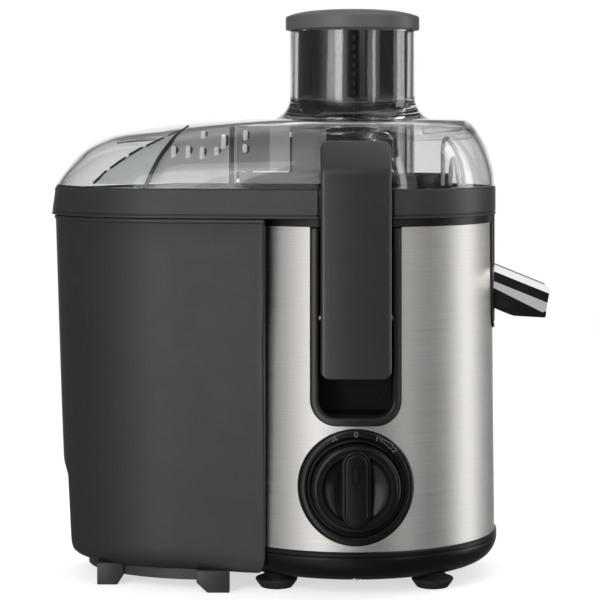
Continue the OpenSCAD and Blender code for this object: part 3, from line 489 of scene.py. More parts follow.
def rubber(name, colour, roughness=0.7):
    """Soft rubber with a dusty bloom."""
    look = Look(name, specular=0.35)
    pale = [min(1, c * 1.8 + 0.02) for c in colour]
    dusty = look.mix(look.remap(look.noise(90, 6), 0, 0.45), colour, pale)
    uneven = look.remap(look.noise(160, 4), roughness * 0.85, min(1, roughness * 1.2))
    return look.finish(dusty, uneven, look.noise(1800, 3), 0.35, 0.0001)


def board(name):
    """A circuit board's green coat, with tracks under it."""
    look = Look(name)
    inputs = {"Vector": look.place, "Scale": 140.0}
    cells = look.node("ShaderNodeTexVoronoi", inputs, distance="MANHATTAN").outputs["Distance"]
    tracks = look.remap(cells, 0, 1, 0.35, 0.4)
    green = look.mix(tracks, (0.012, 0.075, 0.03), (0.03, 0.15, 0.05))
    return look.finish(green, look.remap(look.noise(200), 0.3, 0.5), tracks, 0.4, 0.0001)


def sieve(name):
    """Steel sheet with rows of fine round holes."""
    look = Look(name, metallic=1.0)
    inputs = {"Vector": look.round_axis(46.8, 900), "Scale": 1.0, "Randomness": 0.0}
    holes = look.node("ShaderNodeTexVoronoi", inputs, voronoi_dimensions="2D").outputs["Distance"]
    sheet = look.remap(holes, 0, 1, 0.28, 0.36)
    steel = look.mix(sheet, (0.03, 0.03, 0.03), (0.6, 0.6, 0.6))
    return look.finish(steel, look.remap(sheet, 0.7, 0.28, 0, 1), sheet, 0.6, 0.0003)


CAP_GREY = plastic("cap_grey", (0.11, 0.11, 0.112), 0.42)
SMOKY = plastic("smoky_dark", (0.016, 0.016, 0.017), 0.1, grain=600, depth=0.03, wear_and_highlight=0.2)
CLEAR = clear("clear_lid", (0.88, 0.885, 0.89), 0.02, wave=0.1)
GREY = plastic("grey_satin", (0.028, 0.029, 0.03), 0.42)
LEVER_GREY = plastic("lever_satin", (0.027, 0.027, 0.028), 0.3, grain=1800, specular=0.8)
BEZEL_GREY = plastic("bezel_satin", (0.012, 0.012, 0.0125), 0.3, grain=1600)
BLACK = plastic("black_satin", (0.005, 0.005, 0.0052), 0.34, specular=0.28)
# Painted shade: a deeper, matt black than the housing's plastic, for the lever's recess
POCKET_SHADE = plastic("pocket_painted_shade", (0.002, 0.002, 0.002), 0.6)
GUARD = plastic("guard_grey", (0.42, 0.42, 0.42), 0.45)
# Painted light: the guard's plastic made pale, for the bright area seen through the lid's left end
GUARD_PAINTED_LIGHT = plastic("guard_painted_light", (0.68, 0.71, 0.7), 0.45)
# Painted shade: darker and near-black copies of the guard's grey plastic, for its shaded plates
GUARD_DEEP_SHADE = plastic("guard_painted_deep_shade", (0.03, 0.03, 0.031), 0.45)
GUARD_PAINTED_SHADE = plastic("guard_painted_shade", (0.22, 0.22, 0.222), 0.45)
BLACK_GLOSS = plastic("black_gloss", (0.006, 0.006, 0.0062), 0.24, grain=700, depth=0.06, specular=0.32)
STEEL = round_metal("brushed_skin", (0.72, 0.7, 0.67), 0.34, streak=0.1, depth=0.03, spread=0.06)
TURNED = round_metal("turned_steel", (0.62, 0.62, 0.62), 0.3, rise=5000)
CHROME = metal("plated_spout", (0.86, 0.845, 0.82), 0.07, depth=0.05, spread=0.02)
SEAL = rubber("silicone", (0.22, 0.22, 0.22), 0.55)
RUBBER = rubber("black_rubber", (0.016, 0.016, 0.016))
LAMINATED = striped("stacked_sheets", (0.09, 0.09, 0.1), (0.25, 0.25, 0.27), 400, 0.45)
COPPER = striped("wound_wire", (0.36, 0.12, 0.04), (0.78, 0.36, 0.16), 260, 0.28, 0.9, "DIAGONAL")
CAST = metal("cast_bracket", (0.52, 0.52, 0.53), 0.5, grain=1500, depth=0.5)
BRASS = metal("stamped_brass", (0.72, 0.5, 0.2), 0.28)
CARBON = plastic("carbon_block", (0.02, 0.02, 0.021), 0.6, grain=3500, depth=0.5)
NYLON = plastic("natural_nylon", (0.68, 0.66, 0.58), 0.45, depth=0.15, wear_and_highlight=0.2)
BOARD = board("circuit_board")
FROSTED = plastic("frosted_rib", (0.62, 0.63, 0.64), 0.3, wear_and_highlight=0.1)
STUD = plastic("frosted_stud", (0.9, 0.9, 0.9), 0.3, wear_and_highlight=0.1)
SIEVE = sieve("sieve_sheet")
MARK = plastic("printed_mark", (0.17, 0.17, 0.17), 0.5, spread=0.12, wear_and_highlight=0.1)

# ---- Shared shapes of the juicer ----

PLAN_MIDDLE = 0.51
PLAN_WIDE = 0.836
PLAN_STEPS = 180
COLLAR_Z = 220.5
COLLAR_R = 88.5
COLLAR_REACH = -COLLECTOR.x0
LID_Z = COLLECTOR.z1 + 0.1
LID_TOP = 278.6
NOTCH_W = 43.6
NOTCH_IN = 83.6
NOTCH_TOP = 270.6
NOTCH_BEND = 252.9


def plan_point(a, r, reach):
    """The outline's farthest point in direction a: a circle about the motor and an ellipse to its left."""
    middle = PLAN_MIDDLE * reach
    long, wide = reach - middle, PLAN_WIDE * r
    pull = math.hypot(long * math.cos(a), wide * math.sin(a))
    if pull - middle * math.cos(a) > r:
        return long * long * math.cos(a) / pull - middle, wide * wide * math.sin(a) / pull
    return r * math.cos(a), r * math.sin(a)


def row_at(rows, z):
    """Radius and reach at a height, between rows of (height, radius, reach)."""
    for (z0, r0, far0), (z1, r1, far1) in zip(rows, rows[1:]):
        if z <= z1:
            t = (z - z0) / (z1 - z0)
            return lerp(r0, r1, t), lerp(far0, far1, t)
    return rows[-1][1:]


def plan_line(r, reach, count=720):
    """The outline, as count points at equal steps."""
    return resample([plan_point(2 * math.pi * i / 360, r, reach) for i in range(360)], count)


def plan_ring(r, reach, z):
    return [(x, y, z) for x, y in plan_line(r, reach, PLAN_STEPS)]


SKIN_TOP_R = -SKIN.x0 - 1.7


def skin_r(z):
    """Radius of the steel skin at a height."""
    return lerp(-SKIN.x0, SKIN_TOP_R, (z - SKIN.z0) / (SKIN.z1 - SKIN.z0))


def on_skin(x, z, proud):
    """Depth of the skin in front of the axis at a place seen from the front."""
    return -math.sqrt(max(0, (skin_r(z) + proud) ** 2 - x * x))


# ---- Pulp container ----

BIN_EDGE = BIN.x1
BIN_HOLLOW = 90.0
BIN_WALL = 2.2
BIN_FLOOR = 12.0
BIN_CORNER = 1.6
BIN_ROUND = 14.0
# Height, radius and reach to the left
BIN_ROWS = [(26, 80.5, 177), (105, 83, 180), (217.6, 86, 183.5)]
GRIP_TOP = 67.0
SKIRT_R = 73
SKIRT_REACH = 163
SKIRT_END = -74
FOOT_Z = 0.02


def grip_limit(z):
    """How far left the container may reach at a height, where its end is scooped for the fingers."""
    return lerp(-171.2, -174.4, z / 60) - 5 * smoothstep((z - 60) / (GRIP_TOP + 7 - 60))


def bin_ring(z, inset=0.0, shrink=0.0, lip=0.0):
    """The container's outline, drawn in by shrink, but less so near the edges that meet the base."""
    full = bin_curve(z, inset, 0, lip)
    if not shrink:
        return full
    out = []
    for p, q in zip(full, bin_curve(z, inset, shrink, lip)):
        share = lerp(0.3, 1, smoothstep((BIN_EDGE - p[0]) / 50))
        out.append(tuple(lerp(a, b, share) for a, b in zip(p, q)))
    return out


def bin_curve(z, inset, shrink, lip):
    """The container's outer curve, then the hollow side that fits round the base."""
    r, reach = row_at(BIN_ROWS, max(z, BIN_ROWS[0][0]))
    r, reach = r - inset - shrink + lip, reach - inset - shrink + lip
    edge = BIN_EDGE - inset
    hollow = BIN_HOLLOW + inset - lip
    line = [p for p in plan_line(r, reach) if p[0] < edge and math.hypot(*p) > hollow + 0.05]
    end_x, end_y = line[0]
    outer = resample(line, 160, closed=False)
    limit = grip_limit(z) + inset
    outer = [((x + limit + math.hypot(x - limit, 0.9)) / 2 if x < -150 else x, y) for x, y in outer]
    half = math.degrees(math.atan2(end_y, -end_x))
    open_half = math.degrees(math.acos(-edge / hollow))
    inner = arc(0, 0, hollow, 180 + min(half, open_half), 180 - min(half, open_half), 56)
    tip = (end_x, inner[-1][1]) if half > open_half else inner[-1]
    corner = min(BIN_CORNER, max(0, end_y - tip[1]) / 3)
    turn = bezier((end_x, end_y - corner), (end_x, end_y), (end_x - corner, end_y), 5)
    outer = [(min(x, end_x - corner), y) for x, y in outer]
    ring = outer + [(x, -y) for x, y in turn[::-1]] + inner + turn
    return [(x, y, z) for x, y in ring]


def pulp_container():
    """The bin, with a rounded floor, a lip, and a skirt with four feet under it."""
    steps = 7
    rings = []
    for i in range(steps + 1):
        a = math.radians(90 * i / steps)
        rings.append(bin_ring(BIN_FLOOR + BIN_ROUND * (1 - math.cos(a)), shrink=10.5 * (1 - math.sin(a))))
    # The rows lie close together where the end is scooped
    scoop = [58 + 1.5 * i for i in range(11)]
    heights = [34, 44, 52, 56] + scoop + [76, 84, 95, 105, 125, 150, 175, 200]
    rings += [bin_ring(z) for z in heights]
    lips = [(217.2, 0), (217.5, 0.1), (217.8, 0.5), (218.2, 0.7), (219.4, 0.7), (BIN.z1, 0.3)]
    rings += [bin_ring(z, lip=lip) for z, lip in lips]
    rings += [bin_ring(z, inset=BIN_WALL) for z in [BIN.z1, 215] + heights[::-1] + [30]]
    rings.append(bin_ring(20, inset=BIN_WALL, shrink=2))
    rings.append(bin_ring(BIN_FLOOR + BIN_WALL, inset=BIN_WALL, shrink=9))
    shell = grid(rings)
    top = BIN_FLOOR + 1
    far = [(-154, top), (-154, FOOT_Z), (-142, FOOT_Z), (-138.3, 5.5), (-138.3, top)]
    near = [(SKIRT_END, top), (SKIRT_END, FOOT_Z), (-87, FOOT_Z), (-93.4, 6), (-93.4, top)]
    feet = []
    for outline, y, half in ((far, -41.5, 4.5), (far, 41.5, 4.5), (near, -65, 4), (near, 65, 4)):
        feet.append(softened(across(outline, y - half, y + half), 0.5))
    line = [p for p in plan_line(SKIRT_R, SKIRT_REACH) if p[0] < SKIRT_END and math.hypot(*p) > BIN_HOLLOW]
    line = resample(line, 110, closed=False)
    web = [(0, top), (0, 6.4), (0.4, 6), (2.6, 6), (3, 6.4), (3, top)]
    centre = (-110.0, 0.0)
    rings = []
    for x, y in line:
        far = math.dist((x, y), centre)
        rings.append([(lerp(x, centre[0], d / far), lerp(y, centre[1], d / far), z) for d, z in web])
    skirt = grid(rings)
    piece("pulp_bin", joined(shell, skirt, *feet), "pulp_container", "grey_plastic", GREY, "pulp_container")


# ---- Juice collector ----

BOWL_R = 72.5
BOWL_Z = 176.0
BOWL_WALL = 2.5
CHIMNEY_R = 18.0
CHIMNEY_IN = 16.0
CHIMNEY_TOP = 195.0
DECK_Z = 234.0
DECK_T = 2.4
CHUTE_R = BIN_HOLLOW + BIN_WALL + 1
TONGUE_W = 30.0
TONGUE_Z = 154.0
TONGUE_OUT = 87.8


def collar_ring(inset, z, reach=COLLAR_REACH):
    """The collar's outline, with a recess for each lever."""
    line = plan_line(COLLAR_R - inset, reach - inset)
    half = NOTCH_W / 2 + 0.5 + inset
    depth = NOTCH_IN - inset
    edge_y = math.sqrt((COLLAR_R - inset) ** 2 - half * half)
    left_y = min((abs(x + half), abs(y)) for x, y in line if x < 0)[1]
    right = [p for p in line if p[0] > half]
    right.sort(key=lambda p: math.atan2(p[1], p[0]))
    left = [p for p in line if p[0] < -half]
    left.sort(key=lambda p: math.atan2(p[1], p[0]) % (2 * math.pi))
    ring = resample([(half, -edge_y)] + right + [(half, edge_y)], 70, closed=False)
    ring += [(half, depth), (0, depth), (-half, depth)]
    ring += resample([(-half, left_y)] + left + [(-half, -left_y)], 150, closed=False)
    ring += [(-half, -depth), (0, -depth), (half, -depth)]
    return [(x, y, z) for x, y in ring]


def collar_band():
    top = COLLECTOR.z1
    wall = 3.0
    rows = [
        (0.7, COLLAR_Z), (0.1, COLLAR_Z + 0.2), (0, COLLAR_Z + 0.6), (0, COLLAR_Z + 1.3),
        (0.55, COLLAR_Z + 1.7), (0.55, COLLAR_Z + 2.1), (0.15, COLLAR_Z + 2.5), (0.15, top - 1.2),
        (0.35, top - 0.5), (0.9, top), (wall, top), (wall, COLLAR_Z),
    ]
    drop = (top - COLLAR_Z) / 2.4
    return grid([collar_ring(i, z, COLLAR_REACH - (z - COLLAR_Z) / drop) for i, z in rows], loop=True)


def collector_bowl():
    """The bowl, with its chimney round the coupling."""
    low = DECK_Z - 0.1
    profile = (
        [(CHIMNEY_IN, BOWL_Z), (BOWL_R - 4, BOWL_Z)] + arc(BOWL_R - 4, BOWL_Z + 4, 4, -90, 0, 5)[1:]
        + [(BOWL_R, low), (BOWL_R, DECK_Z + DECK_T)]
        + [(BOWL_R - BOWL_WALL, DECK_Z + DECK_T), (BOWL_R - BOWL_WALL, BOWL_Z + 6)]
        + arc(BOWL_R - BOWL_WALL - 3.5, BOWL_Z + 6, 3.5, 0, -90, 5)[1:]
        + [(CHIMNEY_R + 3, BOWL_Z + 2.5)] + [(CHIMNEY_R, BOWL_Z + 4), (CHIMNEY_R, CHIMNEY_TOP - 0.6)]
        + [(CHIMNEY_R - 0.6, CHIMNEY_TOP), (CHIMNEY_IN + 0.4, CHIMNEY_TOP), (CHIMNEY_IN, CHIMNEY_TOP - 0.6)]
    )
    return lathe(profile, 160)


def collector_deck():
    """The deck between bowl and collar, open over the pulp container."""
    plate = upright(plan_line(COLLAR_R - 2, COLLAR_REACH - 2, PLAN_STEPS), DECK_Z, DECK_Z + DECK_T)
    low, high, r = DECK_Z - 20, DECK_Z + 20, BOWL_R - 0.5
    drum = lathe([(0, low), (r, low), (r, high), (0, high)])
    deck = combine(plate, "DIFFERENCE", drum, chute_shape(0, low, high))
    outer, inner = chute_shape(1.8, COLLAR_Z + 2, DECK_Z + 0.5), chute_shape(0, COLLAR_Z - 5, DECK_Z + 20)
    chute = combine(outer, "DIFFERENCE", inner)
    return joined(deck, chute)


def chute_shape(wall, z0, z1):
    """The way that the pulp falls, between the lid's left end and the base."""
    outline = [p for p in plan_line(COLLAR_R - 12 + wall, COLLAR_REACH - 12 + wall) if p[0] < -40]
    outline = [p for p in outline if math.hypot(*p) > CHUTE_R - wall]
    half = math.degrees(math.atan2(outline[0][1], -outline[0][0]))
    hollow = arc(0, 0, CHUTE_R - wall, 180 + half, 180 - half, 40)
    return upright(outline + hollow, z0, z1)


def tongue():
    """The tongue outside the bowl, which carries the spout."""
    half, channel_half = TONGUE_W / 2, 11
    rings = []
    for z in (TONGUE_Z, TONGUE_Z + 1, 170, 190, 205, COLLAR_Z + 1):
        drawn = 0.8 if z == TONGUE_Z else 0
        edge = half - drawn
        ring = []
        for y in [lerp(-edge, edge, i / 14) for i in range(15)]:
            out = TONGUE_OUT - drawn - (1.2 * (abs(y) / half) ** 10)
            ring.append((math.sqrt(out * out - y * y), y, z))
        rings.append(ring + [(BOWL_R - 1, edge, z), (BOWL_R - 1, -edge, z)])
    channel = [(BOWL_R - 6, 178.5), (BOWL_R + 3, 172), (100, 161), (100, 184), (BOWL_R - 6, 194)]
    return combine(grid(rings), "DIFFERENCE", across(channel, -channel_half, channel_half))


def juice_collector():
    parts = {
        "collar": collar_band, "collector_bowl": collector_bowl, "collector_deck": collector_deck,
        "collector_tongue": tongue,
    }
    for name, make in parts.items():
        piece(name, make(), "base", "grey_plastic", GREY, "juice_collector")


# ---- Lid with its feed tube ----

TUBE_R = 36.2
TUBE_OUT = 38.6
TUBE_TOP = LID.z1
FLARE_W = 13.5
FLARE_H = 15
LID_WALL = 2.4
# Heights above the lid's edge, with the radius of the round end and the reach to the left
LID_ROWS = [
    (0, 87.7, 183.4), (8, 87, 178), (16, 85, 171), (22, 83, 165), (27, 80.7, 157), (31, 78.4, 147),
    (34, 76.5, 131), (36.5, 74.6, 114), (38.5, 72.8, 95), (40, 70.5, 74), (40.6, 66, 58),
]


def lid_shell(inset, extra=()):
    """A solid inside the lid's outer face, moved in by inset. extra has the rows below its edge."""
    rows = spline(LID_ROWS, 3)
    squeeze = 1 - inset / LID_ROWS[-1][0]
    rings = [plan_ring(r - inset, reach - inset, z) for z, r, reach in extra]
    rings += [plan_ring(r - inset, reach - inset, LID_Z + h * squeeze) for h, r, reach in rows]
    return grid(rings)


def notch_block(wall):
    """What the lid leaves free for the front lever, grown by wall."""
    top = NOTCH_TOP + wall
    side = [
        (100, LID_Z - 3), (NOTCH_IN - wall, LID_Z - 3), (NOTCH_IN - wall, NOTCH_BEND - wall / 2),
        (74.4 - wall, 266), (73 - wall, top), (100, top),
    ]
    half = NOTCH_W / 2 + wall
    body = grid([[(x, -d, z) for d, z in side] for x in (-half, half)])
    window = upright(rounded(2 * half, top - 200, 5 + wall, foot=200), 50, 110)
    return combine(body, "INTERSECT", turned(window, TO_FRONT))


def feed_tube():
    """The tube, flared where it meets the roof, down to the lid's lowest point."""
    foot = TUBE_OUT + FLARE_W
    turns = [math.radians(a) for a in range(0, 91, 6)]
    flare = [(foot - FLARE_W * math.sin(a), LID_TOP - 0.4 + FLARE_H * (1 - math.cos(a))) for a in turns]
    profile = [(TUBE_R, LID.z0), (TUBE_OUT, LID.z0), (TUBE_OUT, LID_TOP - 2.6), (foot, LID_TOP - 2.6)] + flare
    profile += [(TUBE_OUT - 0.1, TUBE_TOP - 0.6), (TUBE_OUT - 0.7, TUBE_TOP), (TUBE_R + 0.5, TUBE_TOP)]
    profile += [(TUBE_R, TUBE_TOP - 0.5)]
    return lathe(profile, 144)


def clear_lid():
    roof = combine(lid_shell(0), "DIFFERENCE", lid_shell(LID_WALL, [(LID_Z - 4, *LID_ROWS[0][1:])]))
    walls = []
    # The notches' walls start a little inside the roof's outer face, so that no two faces lie in one plane
    for turn in SIDES.values():
        inner = turned(lid_shell(1.0), Matrix.Translation((0, 0, 0.02)))
        walls.append(combine(inner, "INTERSECT", turned(notch_block(2.2), turn)))
    shell = combine(roof, "UNION", *walls, feed_tube())
    bore = lathe([(0, 200), (TUBE_R, 200), (TUBE_R, 340), (0, 340)], 144)
    notches = [turned(notch_block(0), turn) for turn in SIDES.values()]
    shell = combine(shell, "DIFFERENCE", bore, *notches)
    piece("clear_lid", shell, "lid", "clear_plastic", CLEAR, "lid", smooth=32)


def pusher():
    """A cap and a barrel, which has a seam with a row of pips down its front and back."""
    edge, low, top = CAP.x1, CAP.z0, CAP.z1
    cap = (
        [(0, low), (edge - 1.2, low)] + arc(edge - 1.1, low + 1.1, 1.1, -90, 0, 4)[1:]
        + [(edge, top - 5.9)] + arc(edge - 1.8, top - 5.9, 1.8, 0, 62, 5)[1:]
        + [(edge - 5, top - 2.9), (edge - 9, top - 2), (28, top - 1.3)]
        + [(20, top - 0.6), (10, top - 0.1), (0, top)]
    )
    piece("pusher_cap", lathe(cap, 144), "pusher", "cap_plastic", CAP_GREY, "pusher_cap", smooth=50)
    barrel = Box("pusher_body")
    r, z0 = barrel.x1, barrel.z0
    body = [(0, z0), (r - 2.5, z0), (r - 0.8, z0 + 0.6), (r, z0 + 2.4), (r, low)]
    body += [(r - 2.4, low), (r - 2.4, z0 + 3), (0, z0 + 3)]
    seams = [block(-0.35, 0.35, side * r - 0.6, side * r + 0.6, z0 + 8, low - 4) for side in (-1, 1)]
    solid = combine(lathe(body, 144), "DIFFERENCE", *seams)
    piece("pusher_barrel", solid, "pusher", "smoky_plastic", SMOKY, "pusher_body")
    pips = []
    for side in (-1, 1):
        for i in range(20):
            z = lerp(z0 + 14, low - 7, i / 19)
            pips.append(block(-0.45, 0.45, side * r - 0.45, side * r + 0.45, z, z + 2.6))
    piece("pusher_pips", joined(*pips), "pusher", "smoky_plastic", GREY)


# ---- Levers ----

LEVER_W = LEVER.x1 - LEVER.x0
LEVER_OUT = -LEVER.y0
LEVER_IN = 84.4
LEVER_BEND = 248.8
LEVER_CORNER = 5.0
TIP_OUT = (80.6, 266.4)
TIP_IN = (76.8, 263.7)
# The hinge pin's depth and height
PIVOT = (82.5, 163)
EAR_R = 4.4
CROWN = 1.1
EDGE_ROUND = 1.6


def lever_profile():
    """The lever's side view, as depth and height."""
    low = LEVER.z0
    points = [(LEVER_IN, low), (LEVER_OUT, low), (LEVER_OUT, LEVER_BEND), TIP_OUT, TIP_IN]
    return filleted(points + [(LEVER_IN, NOTCH_BEND)], [0.5, 1.2, 7, 1.2, 0.8, 3], 6)


def lever_ring(x):
    """The lever's section at x: its corners are rounded, and its outer face falls away at the sides."""
    half = LEVER_W / 2
    past = max(0, abs(x) - (half - LEVER_CORNER))
    trim = LEVER_CORNER - math.sqrt(max(0, LEVER_CORNER ** 2 - past ** 2))
    side = max(0, abs(x) - (half - EDGE_ROUND))
    fall = CROWN * (x / half) ** 2 + EDGE_ROUND - math.sqrt(max(0, EDGE_ROUND ** 2 - side ** 2))
    low, top = LEVER.z0, TIP_OUT[1]
    lean = Vector((LEVER_OUT - TIP_OUT[0], LEVER_BEND - top))
    lean /= -lean.y
    ring = []
    for d, z in lever_profile():
        drop = trim * smoothstep(1 - (z - low) / 18)
        up = trim * min(1, max(0, (z - LEVER_BEND) / (top - LEVER_BEND)))
        share = (d - LEVER_IN + 2) / 6 if z < LEVER_BEND else (d - LEVER_IN + 10) / 7
        ring.append((x, -(d + lean.x * up - fall * smoothstep(share)), z + drop - up))
    return ring


def lever(name, turn):
    """A lever, hollow behind, with an ear on each side for its pin."""
    half = LEVER_W / 2
    stations = [half * math.sin(math.radians(a)) for a in range(-90, 91, 5)]
    middle = [lerp(-half + 6, half - 6, i / 12) for i in range(13)]
    solid = grid([lever_ring(x) for x in sorted(stations + middle)])
    wall = 2.4
    hollow = block(wall - half, half - wall, -(LEVER_OUT - 2.9), -70, LEVER.z0 + 2.6, 244, bevel=0.8)
    ear = turned(upright(arc(*PIVOT, EAR_R, 0, 345, 23), 0.3 - half, wall - half), MIRROR_Y @ TO_RIGHT)
    other = turned(ear.copy(), Matrix.Diagonal((-1, 1, 1, 1)))
    solid = combine(solid, "DIFFERENCE", hollow)
    solid = combine(solid, "UNION", ear, other)
    piece(name, turned(solid, turn), name, "grey_plastic", LEVER_GREY, name, smooth=30)


def u_line(w, low, top, r):
    """A U, from its left top, down and round to its right top."""
    half = w / 2
    left = [(-half, lerp(top, low + r, i / 16)) for i in range(16)]
    foot = arc(-half + r, low + r, r, 180, 270, 10)
    floor = [(lerp(-half + r, half - r, i / 8), low) for i in range(1, 8)]
    return left + foot + floor + [(-x, z) for x, z in reversed(foot)] + [(-x, z) for x, z in reversed(left)]


def u_frame(face, line, place):
    """A frame bent to a U. Its face has (inset, how far it stands out), None at the back. line gives the
    U at an inset. place puts a point in space, told how far it stands out and whether it is at an end.
    """
    lines = {inset: line(inset) for inset, _ in face}
    last = len(lines[0]) - 1
    return grid([
        [place(*lines[inset][k], proud, k in (0, last)) for inset, proud in face] for k in range(last + 1)
    ])


BEZEL_W = BEZEL.x1 - BEZEL.x0
BEZEL_CORNER = 15.0
BEZEL_BACK = 79.5
BEZEL_FRAME = 5.4
BEZEL_PROUD = 2.2


def bezel(name, turn):
    """A U frame whose face follows the skin, with rounded edges and a bevel round its mouth."""
    face = [
        (0, None), (0, 1.3), (0.2, 1.75), (0.6, 2.1), (1.2, BEZEL_PROUD), (3.5, BEZEL_PROUD), (4.4, 1.9),
        (5.1, 1.1), (BEZEL_FRAME, 0.2), (BEZEL_FRAME, None),
    ]

    def line(i):
        return u_line(BEZEL_W - 2 * i, BEZEL.z0 + i, BEZEL.z1, BEZEL_CORNER - i)

    def place(x, z, proud, end):
        return x, -BEZEL_BACK if proud is None else on_skin(x, z, proud - 0.9 * end), z

    piece(name, turned(u_frame(face, line, place), turn), "base", "grey_plastic", BEZEL_GREY, name)


# ---- Base ----

TRIM_W = TRIM.y1 - TRIM.y0
TRIM_CORNER = 8.0
GLAND_Z = (GLAND.z0 + GLAND.z1) / 2
DIAL_X = (DIAL.x0 + DIAL.x1) / 2
DIAL_Z = (DIAL.z0 + DIAL.z1) / 2
DIAL_R = (DIAL.x1 - DIAL.x0) / 2
GROOVE_R = 28.7


def punch(outline):
    """A cutting tool: an outline pulled out from inside a side wall to past it."""
    return upright(outline, 60, 110)


def steel_skin():
    """The brushed skin, with openings for the levers, the outlet, the dial and the cord."""
    wall = 0.8
    low, high = SKIN.z0, SKIN.z1
    rows = [lerp(low, high, i / 12) for i in range(13)]
    profile = [(skin_r(z), z) for z in rows] + [(skin_r(high) - wall, high), (skin_r(low) - wall, low)]
    shell = lathe(profile, 240)
    window = punch(rounded(BEZEL_W + 0.2, 160, BEZEL_CORNER, 8, foot=BEZEL.z0 - 0.1))
    outlet = punch(rounded(TRIM_W + 0.2, 110, TRIM_CORNER, 6, foot=TRIM.z0 - 0.1))
    tools = [
        turned(window.copy(), TO_FRONT), turned(window, MIRROR_Y @ TO_FRONT), turned(outlet, TO_RIGHT),
        turned(punch(arc(DIAL_X, DIAL_Z, GROOVE_R, 0, 355, 71)), TO_FRONT),
        turned(punch(arc(0, GLAND_Z, 6, 0, 350, 35)), MIRROR_Y @ TO_FRONT),
    ]
    piece("brushed_skin", combine(shell, "DIFFERENCE", *tools), "base", "steel_skin", STEEL, "steel_skin")


def base_pan():
    """The pan, rounded below, with a row of air slots and a bore for each screw."""
    flat, lip_z, wall = 73.0, 24.0, 2.5
    r, low, top = PAN.x1, PAN.z0, PAN.z1

    def bend(inset, turns):
        out, down = r - inset - flat, lip_z - low - inset
        turns = [math.radians(a) for a in turns]
        return [(flat + out * math.sin(a), lip_z - down * math.cos(a)) for a in turns]

    groove = [(r - 0.1, lip_z + 0.2), (r - 0.5, lip_z + 0.5), (r - 0.1, lip_z + 0.9)]
    lip = [(r, top - 0.7), (r - 0.7, top), (r - wall, top)]
    profile = [(0, low), (60, low)] + bend(0, range(0, 91, 6)) + groove + lip
    profile += bend(wall, range(90, -1, -6)) + [(60, low + wall), (0, low + wall)]
    tools = [block(8 * i - 1.5, 8 * i + 1.5, -20, 20, low - 2, low + wall + 2) for i in range(-3, 4)]
    posts = Box("base_screws").x1 - 3.4
    for i in range(4):
        a = math.radians(90 * i)
        bore = lathe([(0, low - 4), (3.6, low - 4), (3.6, low + 2.8), (0, low + 2.8)], 32)
        tools.append(turned(bore, Matrix.Translation((posts * math.cos(a), posts * math.sin(a), 0))))
    pan = combine(lathe(profile, 200), "DIFFERENCE", *tools)
    piece("base_pan_shell", pan, "base", "black_plastic", BLACK, "base_pan")


def feet():
    """Suction cups, each with a neck and a peg."""
    r = 12.5
    x_at, y_at = FEET.x1 - r, FEET.y1 - r
    profile = [
        (8.2, 0), (9, 0), (9.5, 0.3), (12, 3.7), (r, 4.6), (r, 5.2), (12, 5.7), (9.6, 6.5), (7.6, 7.8),
        (7, 8.8), (7, PAN.z0 + 0.2), (0, PAN.z0 + 0.2), (0, 3.4), (5, 3.0),
    ]
    cups = []
    for x in (-x_at, x_at):
        for y in (-y_at, y_at):
            cups.append(turned(lathe(profile, 64), Matrix.Translation((x, y, 0))))
    piece("suction_cups", joined(*cups), "base", "black_rubber", RUBBER, "suction_feet", smooth=50)


# ---- Dial ----

MARK_R = 31.0
PULSE_TURN = -24.0
ONE_TURN = 23.0
TWO_TURN = 46.0
# The radius of the floor behind the knob, and how far in front of the axis it ends
FLOOR_R = 26.4
FLOOR_FRONT = 73.0
# Turns a shape made about Z so that its axis is the knob's and its height points to the front
TO_DIAL = Matrix.Translation((DIAL_X, 0, DIAL_Z)) @ TO_FRONT


def dial_ring():
    """A ring whose face follows the skin, with a rounded rim and a recess for the knob."""
    section = [
        (DIAL_R, -1.5), (DIAL_R, 0.5), (DIAL_R - 0.25, 1.1), (DIAL_R - 0.8, 1.6), (DIAL_R - 1.6, 1.9),
        (DIAL_R - 2.6, 2.0), (DIAL_R - 4.2, 1.85), (GROOVE_R + 0.5, 1.6), (GROOVE_R, 1.2),
        (GROOVE_R - 0.2, 0.4), (GROOVE_R - 0.7, 0.1), (GROOVE_R - 1.2, 0.1), (GROOVE_R - 1.6, 0.5),
        (26.7, 0.6), (FLOOR_R, 0.2), (FLOOR_R, None), (DIAL_R - 4, None),
    ]
    rings = []
    for i in range(160):
        a = 2 * math.pi * i / 160
        ring = []
        for r, proud in section:
            x, z = r * math.cos(a), DIAL_Z + r * math.sin(a)
            if proud is None and r == FLOOR_R:
                depth = -FLOOR_FRONT
            else:
                depth = on_skin(x, z, -2 if proud is None else proud)
            ring.append((DIAL_X + x, depth, z))
        rings.append(ring)
    bore, back, front = 3.1, 70, FLOOR_FRONT + 0.2
    floor = lathe([(bore, back), (FLOOR_R, back), (FLOOR_R, front), (bore, front)], 96)
    floor = turned(floor, TO_DIAL)
    face = joined(grid(rings, loop=True), floor)
    piece("dial_face", face, "base", "black_plastic", BLACK_GLOSS, "dial_ring")


def stroke(points, width=0.42, closed=False):
    """A thin raised line on the dial's face, through points seen from the front."""
    rings = []
    n = len(points)
    for i, (x, z) in enumerate(points):
        a = points[i - 1] if i or closed else points[i]
        b = points[(i + 1) % n] if i < n - 1 or closed else points[i]
        along = Vector((b[0] - a[0], b[1] - a[1])).normalized()
        aside = Vector((-along.y, along.x)) * width / 2
        ring = []
        for side, proud in ((-1, 1.2), (-1, 2.06), (1, 2.06), (1, 1.2)):
            px, pz = x + side * aside.x, z + side * aside.y
            ring.append((DIAL_X + px, on_skin(px, DIAL_Z + pz, proud), DIAL_Z + pz))
        rings.append(ring)
    return grid(rings, loop=closed)


def at_turn(points, turn, r=MARK_R):
    """A small drawing, moved out to radius r and turned clockwise from the top."""
    a = math.radians(-turn)
    c, s = math.cos(a), math.sin(a)
    return [(x * c - (y + r) * s, x * s + (y + r) * c) for x, y in points]


